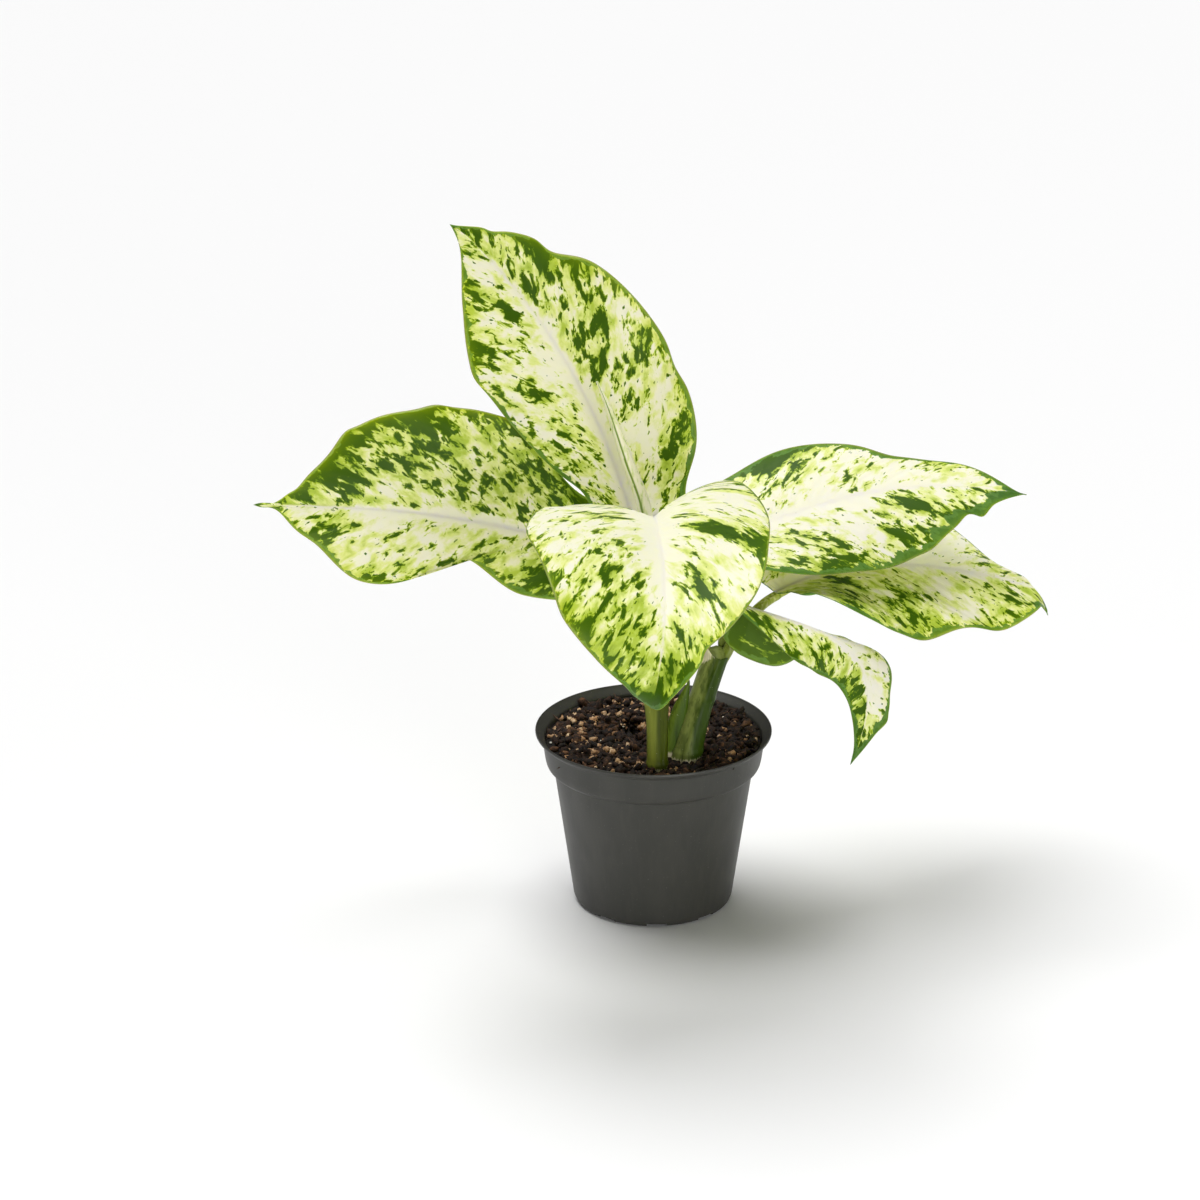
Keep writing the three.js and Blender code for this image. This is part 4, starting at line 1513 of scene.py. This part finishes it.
@dataclass(frozen=True)
class Stalk:
    """An upright stem whose cross-sections are level ellipses.

    Attributes:
        name: The CAD node that it stands for.
        sections: The ellipses from root to tip, evenly spaced along the stem's parameter: x, y, z, half width
            and half depth, mm.
        wrap_turn: Where the edge of the outermost sheath lies, degrees round from +X at the foot.
        wrap_lift: How far the sheath's edge stands out, as a share of the radius.
        wrap_twist: How far the edge has turned at the top, degrees.
        dry: Height up to which the base is dry and papery, mm.
        joints: Heights of the rings left by old leaves, mm.
        lip: How far the top edge stands up on one side, mm, and that side, degrees round from +X. The edge is
            that of an open sheath; without a lip the top is a plain dome.
    """

    name: str
    sections: tuple[tuple[float, ...], ...]
    wrap_turn: float = 0.0
    wrap_lift: float = 0.12
    wrap_twist: float = 60.0
    dry: float = 0.0
    joints: tuple[float, ...] = ()
    lip: tuple[float, float] | None = None
    sides: int = 72
    rings: int = 110
    flutes: int = 14  # fine ridges round the stem
    dome_height: float = 3.0  # of a plain top, mm
    fray_height: float = 0.4  # of the frays along the edge of an open sheath, mm

    def grid(self) -> Array:
        """Rings of the stem.

        The radii are multiplied by 1 + lift * (0.5 - w), where w goes from 0 to 1 over the turn that starts
        at the sheath's edge, plus 0.07 * exp(-((z - joint) / 1.2)^2) for each joint. At angle a they are also
        multiplied by 1 + 0.008 * cos(flutes * a).

        Returns:
            The points, shape (rings, sides, 3).
        """
        t = np.linspace(0, 1, self.rings)
        x, y, z, width, depth = (splined(tuple(column), t)[:, None] for column in zip(*self.sections))
        angle = np.linspace(0, 2 * math.pi, self.sides, endpoint=False)[None, :]
        edge = np.radians(self.wrap_turn + self.wrap_twist * t)[:, None]
        around = np.mod(angle - edge, 2 * math.pi) / (2 * math.pi)
        swell = 1 + self.wrap_lift * (0.5 - around) * smooth_step(0, 0.03, around)
        for joint in self.joints:
            swell = swell + 0.07 * np.exp(-(((z - joint) / 1.2) ** 2))
        fluted = 1 + 0.008 * np.cos(self.flutes * angle)
        return np.stack(
            [
                x + width * swell * fluted * np.cos(angle),
                y + depth * swell * fluted * np.sin(angle),
                np.broadcast_to(z, (self.rings, self.sides)),
            ],
            -1,
        )

    def lip_share(self) -> Array:
        """How near each side is to the raised side of the lip: ((1 + cos(angle - side)) / 2)^4."""
        angle = np.linspace(0, 2 * math.pi, self.sides, endpoint=False)
        return (0.5 + 0.5 * np.cos(angle - math.radians(self.lip[1]))) ** 4

    def crown(self, last: Array) -> Array:
        """Rings that close the top: a dome, or the thin edge of an open sheath with a dome inside it.

        The edge stands up by the lip's height times its share, plus fray * sin(5 a)^2 at angle a. The dome is
        the round base of the leaves that the sheath clasps.

        Args:
            last: The uppermost ring.

        Returns:
            The rings, shape (n, sides, 3).
        """
        middle = last.mean(0)
        if self.lip is None:
            return np.stack([middle + (last - middle) * w + [0, 0, self.dome_height * h] for w, h in DOME])
        angle = np.linspace(0, 2 * math.pi, self.sides, endpoint=False)
        raised = self.lip[0] * self.lip_share() + self.fray_height * np.sin(5 * angle) ** 2
        rings = []
        for share, rise, drop in SHEATH_EDGE:
            ring = middle + (last - middle) * share
            ring[:, 2] += rise * raised - drop
            rings.append(ring)
        return np.stack(rings)

    def build(self, material: bpy.types.Material, slot: Slot) -> bpy.types.Object:
        """Builds the stem with its top, and notes where light is painted on it (pale) and where it is dry.

        Args:
            material: Its finish.
            slot: Its material slot; not used.

        Returns:
            The stem's object.
        """
        rings = self.grid()
        grid = np.concatenate([rings[:1], rings, self.crown(rings[-1])])
        skin = Skin.tube(grid)
        piece = skin.piece(self.name, material)
        angle = np.linspace(0, 2 * math.pi, self.sides, endpoint=False)
        # Painted light: "pale" rises from 0 on the +X side to 1 on the left, -X side.
        pale = np.tile(0.5 - 0.5 * np.cos(angle), (len(grid), 1))
        dry = smooth_step(self.dry + 5, self.dry - 5, grid[..., 2])
        if self.lip is not None:
            top = rings[-1, 0, 2]
            near = self.lip_share()
            dry = dry + (0.3 + 0.6 * near) * smooth_step(top - 9 * near, top + 0.5, grid[..., 2])
            dry[-2:] = 0
            # Painted light: the dome inside the sheath's edge takes the pale colour all round.
            pale[-3:] = 1
        add_values(piece, "pale", pale.ravel()[skin.source])
        add_values(piece, "dry", dry.ravel()[skin.source])
        return settle(piece, self.name)


STALK_FRONT = Stalk(
    "stalk_front",
    (
        (1.5, -39, 46, 4.2, 4.2),
        (1.5, -38.5, 78, 5.4, 5.2),
        (1.4, -37.5, 92, 5.2, 5.0),
        (1.2, -35.5, 112, 5.4, 5.2),
        (0.2, -32.5, 131, 7.0, 6.4),
        (-1.4, -30, 148, 8.2, 8.0),
    ),
    wrap_turn=285,
    dry=88,
    joints=(90, 121),
)
STALK_RIGHT = Stalk(
    "stalk_right",
    (
        (11, -34, 46, 4.5, 4.5),
        (13.5, -31.5, 78, 9.0, 6.6),
        (16, -29, 90, 7.8, 6.2),
        (20.5, -25, 108, 6.8, 6.4),
        (26, -19.5, 125, 6.6, 6.8),
        (31, -15, 139, 6.6, 7.4),
    ),
    wrap_turn=235,
    wrap_twist=40,
    dry=90,
    joints=(93, 118),
    lip=(8, 185),
)
OLD_SHEATH = Stalk(
    "old_sheath",
    (
        (6, -28.5, 76, 3.6, 1.8),
        (7, -28, 86, 4.6, 2.2),
        (9.5, -27, 100, 5.2, 2.2),
        (13, -25.5, 115, 3.8, 1.7),
        (17, -24, 127, 0.8, 0.8),
    ),
    wrap_turn=180,
    wrap_lift=0.2,
    dry=92,
)


@dataclass(frozen=True)
class FurledLeaf:
    """The new leaf, still rolled: a cone-ended roll whose outer edge overlaps along a slit.

    Attributes:
        sections: Level ellipses from root to tip: x, y, z, half width and half depth, mm.
        slit_turn: Where the overlapping edge lies at the root, degrees round from +X.
        slit_twist: How far the edge has turned at the tip, degrees.
        overlap: Height of the step at the slit, as a share of the radius.
    """

    sections: tuple[tuple[float, ...], ...]
    slit_turn: float = 215.0
    slit_twist: float = 50.0
    overlap: float = 0.3
    sides: int = 60
    rings: int = 120

    def build(self, material: bpy.types.Material) -> bpy.types.Object:
        """Builds the roll: its radius grows by the overlap over one turn and drops back at the slit.

        Args:
            material: Its finish.

        Returns:
            The roll's object.
        """
        t = np.linspace(0, 1, self.rings)
        x, y, z, width, depth = (splined(tuple(column), t)[:, None] for column in zip(*self.sections))
        angle = np.linspace(0, 2 * math.pi, self.sides, endpoint=False)[None, :]
        edge = np.radians(self.slit_turn + self.slit_twist * t)[:, None]
        around = np.mod(angle - edge, 2 * math.pi) / (2 * math.pi)
        swell = 1 - self.overlap / 2 + self.overlap * around
        rings = np.stack(
            [x + width * swell * np.cos(angle), y + depth * swell * np.sin(angle), z + 0 * angle],
            -1,
        )
        skin = Skin.tube(np.concatenate([rings[:1], rings, rings[-1:]]))
        piece = skin.piece("furled_leaf_roll", material)
        slit = np.exp(-((around / 0.07) ** 2))
        slit = np.concatenate([slit[:1], slit, slit[-1:]])
        add_values(piece, "slit", slit.ravel()[skin.source])
        sharpen(piece, 50)
        return settle(piece, "furled_leaf")


FURLED_LEAF = FurledLeaf(
    (
        (1.5, -26.5, 146, 2.6, 2.6),
        (0, -28.5, 185, 2.7, 2.7),
        (-5, -29, 222, 3.4, 3.2),
        (-13.5, -26, 246, 3.2, 3.0),
        (-22, -22.5, 270, 1.9, 1.8),
        (-28.5, -20, 285, 0.5, 0.5),
    )
)


# ---- Pot and soil ---------------------------------------------------------------------------------------


def filleted(outline: tuple[tuple[float, float], ...], radius: float, steps: int = 5) -> Array:
    """An open outline with its corners rounded by parabolas.

    Args:
        outline: The corners.
        radius: How far from a corner the rounding starts; at most 0.45 of either side.
        steps: Points in each rounded corner.

    Returns:
        The points of the rounded outline.
    """
    corners = np.asarray(outline, float)
    rounded = [corners[0]]
    for before, corner, after in zip(corners, corners[1:], corners[2:]):
        into, out = before - corner, after - corner
        start = corner + into * min(0.45, radius / np.linalg.norm(into))
        end = corner + out * min(0.45, radius / np.linalg.norm(out))
        for w in np.linspace(0, 1, steps):
            rounded.append(start * (1 - w) ** 2 + 2 * corner * w * (1 - w) + end * w**2)
    return np.array([*rounded, corners[-1]])


def revolved(profile: Array, sides: int) -> Array:
    """Rings of a turned shape: each point of its profile goes once round the upright axis.

    Args:
        profile: Radius and height of each point, shape (n, 2).
        sides: Corners of each ring.

    Returns:
        The rings, shape (n, sides, 3).
    """
    angle = np.linspace(0, 2 * math.pi, sides, endpoint=False)[None, :]
    radius, height = profile[:, :1], profile[:, 1:]
    return np.stack([radius * np.cos(angle), radius * np.sin(angle), height + 0 * angle], -1)


@dataclass(frozen=True)
class Pot:
    """The nursery pot: a tapered wall, a stepped rim band with a thin lip, and drainage gullies, in mm."""

    height: float = 93
    rim_radius: float = 60
    shoulder_height: float = 73
    shoulder_radius: float = 50.6
    band_radius: float = 54.9  # at the foot of the band, which flares a little towards the lip
    band_flare: float = 1.5
    foot_radius: float = 40.5
    wall: float = 1.2
    floor: float = 3.2
    gullies: int = 9
    gully_width: float = 10.5
    gully_height: float = 2
    gully_length: float = 13
    gully_turn: float = 2.5  # degrees that the front gully lies round to the right
    drain_radius: float = 3
    rounding: float = 0.9  # how far from a corner of the profile its rounding starts
    sides: int = 216

    def inside(self) -> tuple[tuple[float, float], ...]:
        """The inside of the pot.

        Returns:
            Radius and height of each corner, from the floor up.
        """
        return (
            (self.foot_radius - self.wall, self.floor),
            (self.shoulder_radius - self.wall, self.shoulder_height + 1.4),
            (self.band_radius - self.wall - 0.6, self.shoulder_height + 4),
            (self.band_radius + self.band_flare - self.wall, self.height - 4.5),
            (self.rim_radius - self.wall, self.height - 1),
        )

    def profile(self) -> Array:
        """Outside and inside as one outline with rounded corners.

        Returns:
            Radius and height of each point, from the axis under the pot to the axis on its floor.
        """
        outside = (
            (0, 0),
            (self.foot_radius - 2.6, 0),
            (self.foot_radius - 1, 0.8),
            (self.foot_radius, 3),
            (self.shoulder_radius, self.shoulder_height),
            (self.band_radius - 2.4, self.shoulder_height + 0.3),
            (self.band_radius - 0.7, self.shoulder_height + 2),
            (self.band_radius, self.shoulder_height + 5),
            (self.band_radius + self.band_flare, self.height - 4.5),
            (self.rim_radius - 0.4, self.height - 2),
            (self.rim_radius, self.height - 1),
            (self.rim_radius - 0.5, self.height),
        )
        return filleted((*outside, *reversed(self.inside()), (0, self.floor)), self.rounding)

    def cutter(self, outline: Array, high: float, material: bpy.types.Material) -> bpy.types.Object:
        """The outline stood up as a prism and repeated at every gully, as one object.

        Args:
            outline: Closed outline round the place of one gully on the +X axis, shape (n, 2).
            high: Upper height of the prism, which starts 1 mm below the pot.
            material: The pot's finish.

        Returns:
            The object that is taken away from the pot.
        """
        points, faces = [], []
        for k in range(self.gullies):
            turn = math.radians(self.gully_turn - 90 + 360 * k / self.gullies)
            x = outline[:, 0] * math.cos(turn) - outline[:, 1] * math.sin(turn)
            y = outline[:, 0] * math.sin(turn) + outline[:, 1] * math.cos(turn)
            rings = np.stack([np.stack([x, y, np.full_like(x, z)], -1) for z in (-1, -1, high, high)])
            skin = Skin.tube(rings)
            faces += [[corner + sum(map(len, points)) for corner in face] for face in skin.faces]
            points.append(skin.points)
        whole = Skin(np.concatenate(points), faces, np.arange(sum(map(len, points))))
        return whole.piece("gully_cutter", material)

    def build(self, material: bpy.types.Material) -> bpy.types.Object:
        """Turns the profile and takes the gullies and their drain holes away.

        Args:
            material: Its finish.

        Returns:
            The pot's object.
        """
        piece = Skin.tube(revolved(self.profile(), self.sides)).piece("nursery_pot", material)
        radius = self.gully_width / 2
        inner = self.foot_radius - self.gully_length + radius
        bow = np.linspace(math.pi / 2, 1.5 * math.pi, 15)
        gully = np.stack([inner + radius * np.cos(bow), radius * np.sin(bow)], -1)
        gully = np.concatenate([[[self.foot_radius + 4, radius]], gully, [[self.foot_radius + 4, -radius]]])
        circle = np.linspace(0, 2 * math.pi, 24, endpoint=False)
        drain = np.stack([inner + self.drain_radius * np.cos(circle), self.drain_radius * np.sin(circle)], -1)
        for outline, high in ((gully, self.gully_height), (drain, self.floor + 1)):
            cutter = self.cutter(outline, high, material)
            cut = piece.modifiers.new("gullies", "BOOLEAN")
            cut.operation = "DIFFERENCE"
            cut.object = cutter
            cut.solver = "EXACT"
            result = piece.evaluated_get(bpy.context.evaluated_depsgraph_get())
            mesh = bpy.data.meshes.new_from_object(result)
            piece.modifiers.clear()
            piece.data = mesh
            bpy.data.objects.remove(cutter)
        sharpen(piece, 40)
        return settle(piece, "pot")


@dataclass(frozen=True)
class Crumbs:
    """Many small lumps scattered over the soil and kept as one piece.

    Attributes:
        name: Name of the piece.
        count: How many.
        size: Smallest and largest half length, mm.
        stretch: How much longer than wide they are at most.
        seed: Seed of the random draw.
        left_share: Share of them that lies on the left half.
        sunk: How deep each lies in the soil, as a share of its size.
        clump: How strongly they lie in clumps.
    """

    name: str
    count: int
    size: tuple[float, float]
    stretch: float
    seed: int
    left_share: float = 0.5
    sunk: float = 0.2
    clump: float = 0.3


@dataclass(frozen=True)
class Soil:
    """The potting mix: a lumpy top, crumbs of peat and bark, pale grains and fibres, in mm."""

    level: float = 87  # of the top, at the pot's axis
    slope: tuple[float, float] = (0.02, 0.01)  # rise per millimetre towards the right and towards the back
    crown: float = 1.2  # how much higher the middle is than the edge
    radius: float = 54.4
    floor_radius: float = 39.0
    floor: float = 3.5
    neck: tuple[tuple[float, float], ...] = ((49.1, 74.7), (52.8, 77.3))  # radius, height at the shoulder
    hollow: tuple[float, float, float, float] = (-11, 12, 7, 9)  # x, y, radius, depth
    sides: int = 300
    rings: int = 110

    def height(self, x: Array, y: Array) -> Array:
        """Height of the top: a low crown plus lumps of 9, 4, 1.8 and 0.8 mm, less one hollow.

        The hollow is depth * exp(-(distance / radius)^2), and the lumps fade out at the pot's wall.

        Args:
            x: Places to the right.
            y: Places to the back.

        Returns:
            The height at each place.
        """
        reach = np.hypot(x, y) / self.radius
        lumps = (
            1.3 * value_noise(x, y, 9, 1)
            + 1.0 * value_noise(x, y, 4, 2)
            + 0.5 * value_noise(x, y, 1.8, 3)
            + 0.2 * value_noise(x, y, 0.8, 4)
        )
        away = np.hypot(x - self.hollow[0], y - self.hollow[1]) / self.hollow[2]
        sloped = self.level + self.slope[0] * x + self.slope[1] * y
        edge = smooth_step(1.0, 0.95, reach)
        return sloped + self.crown * (1 - reach) + lumps * edge - self.hollow[3] * np.exp(-(away**2))

    def body(self, material: bpy.types.Material) -> bpy.types.Object:
        """Builds the soil's solid body: a turned outline below and the lumpy top above it.

        Args:
            material: Its finish.

        Returns:
            The body's object.
        """
        angle = np.linspace(0, 2 * math.pi, self.sides, endpoint=False)[None, :]
        radius = self.radius * np.sqrt(np.linspace(1, 0, self.rings))[:, None]
        x, y = radius * np.cos(angle), radius * np.sin(angle)
        top = np.stack([x, y, self.height(x, y)], -1)
        below = revolved(np.array([(0, self.floor), (self.floor_radius, self.floor), *self.neck]), self.sides)
        piece = Skin.tube(np.concatenate([below, top])).piece("potting_mix", material)
        return settle(piece, "soil")

    def scatter(self, crumbs: Crumbs, material: bpy.types.Material) -> bpy.types.Object:
        """Scatters lumps over the top.

        Each lump is a ball of rings, stretched along one axis, turned at random, with every corner moved out
        or in by up to 0.36 of its radius. Of twice as many places as there are lumps, those are taken where a
        random draw plus clump times a noise with patches of 13 mm is lowest.

        Args:
            crumbs: What to scatter.
            material: Their finish.

        Returns:
            The one piece that holds them all.
        """
        draw = np.random.default_rng(crumbs.seed)
        n, rings, sides = crumbs.count, 5, 6
        reach = (self.radius - 1.5) * np.sqrt(draw.random(2 * n))
        turn = math.pi * draw.random(2 * n)
        turn += np.where(draw.random(2 * n) < crumbs.left_share, math.pi / 2, -math.pi / 2)
        x, y = reach * np.cos(turn), reach * np.sin(turn)
        chosen = np.argsort(crumbs.clump * value_noise(x, y, 13, crumbs.seed) + draw.random(2 * n))[:n]
        x, y = x[chosen], y[chosen]
        size = crumbs.size[0] * (crumbs.size[1] / crumbs.size[0]) ** draw.random(n)
        long = 1 + (crumbs.stretch - 1) * draw.random(n)
        polar = np.linspace(0, math.pi, rings)
        round_ = np.linspace(0, 2 * math.pi, sides, endpoint=False)
        ball = np.stack(
            [
                np.sin(polar)[:, None] * np.cos(round_),
                np.sin(polar)[:, None] * np.sin(round_),
                np.cos(polar)[:, None] + 0 * round_,
            ],
            -1,
        )
        rough = 1 + 0.36 * (2 * draw.random((n, rings, sides, 1)) - 1)
        lump = ball[None] * rough * size[:, None, None, None]
        lump[..., 2] *= long[:, None, None]
        axis = unit(draw.normal(size=(n, 3)) * [1, 1, 0.45])
        aside = unit(np.cross(axis, draw.normal(size=(n, 3))))
        basis = np.stack([aside, np.cross(axis, aside), axis], 1)
        place = np.stack([x, y, self.height(x, y) + size * (0.5 - crumbs.sunk)], -1)
        lump = np.einsum("nrsk,nkj->nrsj", lump, basis) + place[:, None, None]
        points, faces, start = [], [], 0
        for one in lump:
            skin = Skin.tube(one)
            faces += [[corner + start for corner in face] for face in skin.faces]
            points.append(skin.points)
            start += len(skin.points)
        whole = Skin(np.concatenate(points), faces, np.arange(start))
        return settle(whole.piece(crumbs.name, material), "soil")

    def build(self) -> None:
        """Builds the soil and everything strewn over it."""
        peat = Crumbly("damp_peat", "#0c0603", "#23150b", gloss=0.12)
        self.body(peat.material())
        strewn = (
            (
                Crumbs("peat_crumbs", count=1300, size=(0.7, 2.2), stretch=2.6, seed=11),
                Crumbly("crumbled_peat", "#110905", "#3b2516", gloss=0.15),
            ),
            (
                Crumbs("bark_chips", count=150, size=(1.2, 2.6), stretch=3.2, seed=12),
                Crumbly("bark_chips", "#22140b", "#63432b", gloss=0.15),
            ),
            (
                Crumbs("pale_grains", 260, (0.8, 1.8), 1.5, seed=13, left_share=0.68, sunk=0.1, clump=1.0),
                Crumbly("pale_grit", "#a67d57", "#e2c6a2", relief=0.2),
            ),
            (
                Crumbs("tan_grains", 260, (0.6, 1.5), 1.8, seed=14, left_share=0.64, sunk=0.1, clump=0.8),
                Crumbly("tan_grit", "#6e4f38", "#a9835f", relief=0.2),
            ),
            (
                Crumbs("white_specks", count=80, size=(0.3, 0.7), stretch=1.8, seed=15, sunk=0.0),
                Crumbly("perlite", "#d8d2c4", "#f6f2e8"),
            ),
            (
                Crumbs("fibres", count=240, size=(0.24, 0.42), stretch=17, seed=16, sunk=-0.8),
                Crumbly("coir_fibre", "#453327", "#85695a"),
            ),
        )
        for crumbs, finish in strewn:
            self.scatter(crumbs, finish.material())


# ---- Studio ---------------------------------------------------------------------------------------------


@dataclass(frozen=True)
class Studio:
    """Floor, light and camera, in metres.

    The focal length in pixels, the pitch of the camera and the pixel of the pot's rim centre come from the
    ellipses of the pot's rim and foot in the photograph.
    """

    image_side: float = 1200  # of the photograph, pixels
    focal_pixels: float = 4937
    pitch: float = 21.6  # degrees below level
    distance: float = 2.5  # from the centre of the rim
    rim_pixel: tuple[float, float] = (653.5, 727.5)  # from the left and from the top
    rim_height: float = 0.093
    sensor: float = 36.0  # width, mm
    floor_side: float = 12.0
    floor_colour: str = "#f4f4f4"
    world_light: float = 0.11  # strength of the surround
    key_strength: float = 3.1  # W/m^2
    key_spread: float = 50.0  # degrees: how wide the overhead light looks from the plant
    key_from: tuple[float, float, float] = (-0.18, 0.24, 1.0)
    fill_power: float = 28.5  # W
    fill_place: tuple[float, float, float] = (0.7, -1.9, 0.17)
    fill_target: tuple[float, float, float] = (0.0, 0.0, 0.15)
    fill_size: float = 1.2

    def camera(self) -> None:
        """Places the camera so that the centre of the pot's rim falls on its pixel of the photograph."""
        pitch = math.radians(self.pitch)
        forward = np.array([0, math.cos(pitch), -math.sin(pitch)])
        upward = np.array([0, math.sin(pitch), math.cos(pitch)])
        right = np.array([1.0, 0, 0])
        aside, down = (value - self.image_side / 2 for value in self.rim_pixel)
        sight = unit(forward + right * aside / self.focal_pixels - upward * down / self.focal_pixels)
        data = bpy.data.cameras.new("camera")
        data.lens = self.focal_pixels / self.image_side * self.sensor
        data.sensor_width = self.sensor
        made = bpy.data.objects.new("camera", data)
        made.location = np.array([0, 0, self.rim_height]) - self.distance * sight
        made.rotation_euler = (math.pi / 2 - pitch, 0, 0)
        bpy.context.scene.collection.objects.link(made)
        bpy.context.scene.camera = made

    def floor(self) -> None:
        """Lays the pale, matt floor."""
        material, tree = new_material("pale_floor")
        inputs = {"Base Color": linear(self.floor_colour), "Roughness": 0.9, "Specular IOR Level": 0.0}
        shader = add_node(tree, "ShaderNodeBsdfPrincipled", inputs)
        add_node(tree, "ShaderNodeOutputMaterial", {"Surface": shader.outputs[0]})
        half = self.floor_side / 2
        corners = [(-half, -half, 0), (half, -half, 0), (half, half, 0), (-half, half, 0)]
        mesh = bpy.data.meshes.new("floor")
        mesh.from_pydata(corners, [], [(0, 1, 2, 3)])
        mesh.materials.append(material)
        made = bpy.data.objects.new("floor", mesh)
        bpy.context.scene.collection.objects.link(made)

    def lights(self) -> None:
        """Sets an even surround, a wide key light overhead and behind, and a soft fill low in front."""
        world = bpy.data.worlds.new("studio")
        world.use_nodes = True
        sky = world.node_tree.nodes["Background"]
        sky.inputs["Color"].default_value = linear("#ffffff")
        sky.inputs["Strength"].default_value = self.world_light
        bpy.context.scene.world = world
        key = bpy.data.lights.new("key_light", "SUN")
        key.energy = self.key_strength
        key.angle = math.radians(self.key_spread)
        self.place_light(key, self.key_from, (0.0, 0.0, 0.0))
        fill = bpy.data.lights.new("fill_light", "AREA")
        fill.shape = "DISK"
        fill.size = self.fill_size
        fill.energy = self.fill_power
        self.place_light(fill, self.fill_place, self.fill_target)
        bpy.context.scene.view_settings.view_transform = "Standard"

    def place_light(self, data: bpy.types.Light, place: tuple[float, ...], target: tuple[float, ...]) -> None:
        """Puts a light in its place and turns it to the target.

        Args:
            data: The light.
            place: Where it hangs.
            target: What it shines at.
        """
        light = bpy.data.objects.new(data.name, data)
        light.location = place
        aim = np.array(target) - np.array(place)
        tilt = math.atan2(math.hypot(aim[0], aim[1]), -aim[2])
        light.rotation_euler = (tilt, 0, math.atan2(-aim[0], aim[1]))
        bpy.context.scene.collection.objects.link(light)

    def build(self) -> None:
        """Builds the studio."""
        self.floor()
        self.lights()
        self.camera()


def main() -> None:
    logging.basicConfig(level=logging.INFO, format="%(message)s")
    Pot().build(MouldedPlastic().material())
    Soil().build()
    sheathed = SheathSkin("sheathed_stalk", green="#434e06", pale="#7c8431", deep="#353f05")
    STALK_FRONT.build(sheathed.material(), Slot.STALK)
    shaded = SheathSkin("sheathed_stalk_shaded", green="#324708", pale="#7c8744", deep="#233405")
    STALK_RIGHT.build(shaded.material(), Slot.STALK)
    drying = SheathSkin("drying_sheath", green="#40580a", pale="#5c701c", deep="#2a3a08")
    OLD_SHEATH.build(drying.material(), Slot.SHEATH)
    FURLED_LEAF.build(RolledLeafSkin().material())
    tissue, flesh = VariegatedBlade().material(), LeafStalkSkin().material()
    for leaf in LEAVES:
        leaf.build(tissue, flesh)
    Studio().build()


if __name__ == "__main__":
    main()
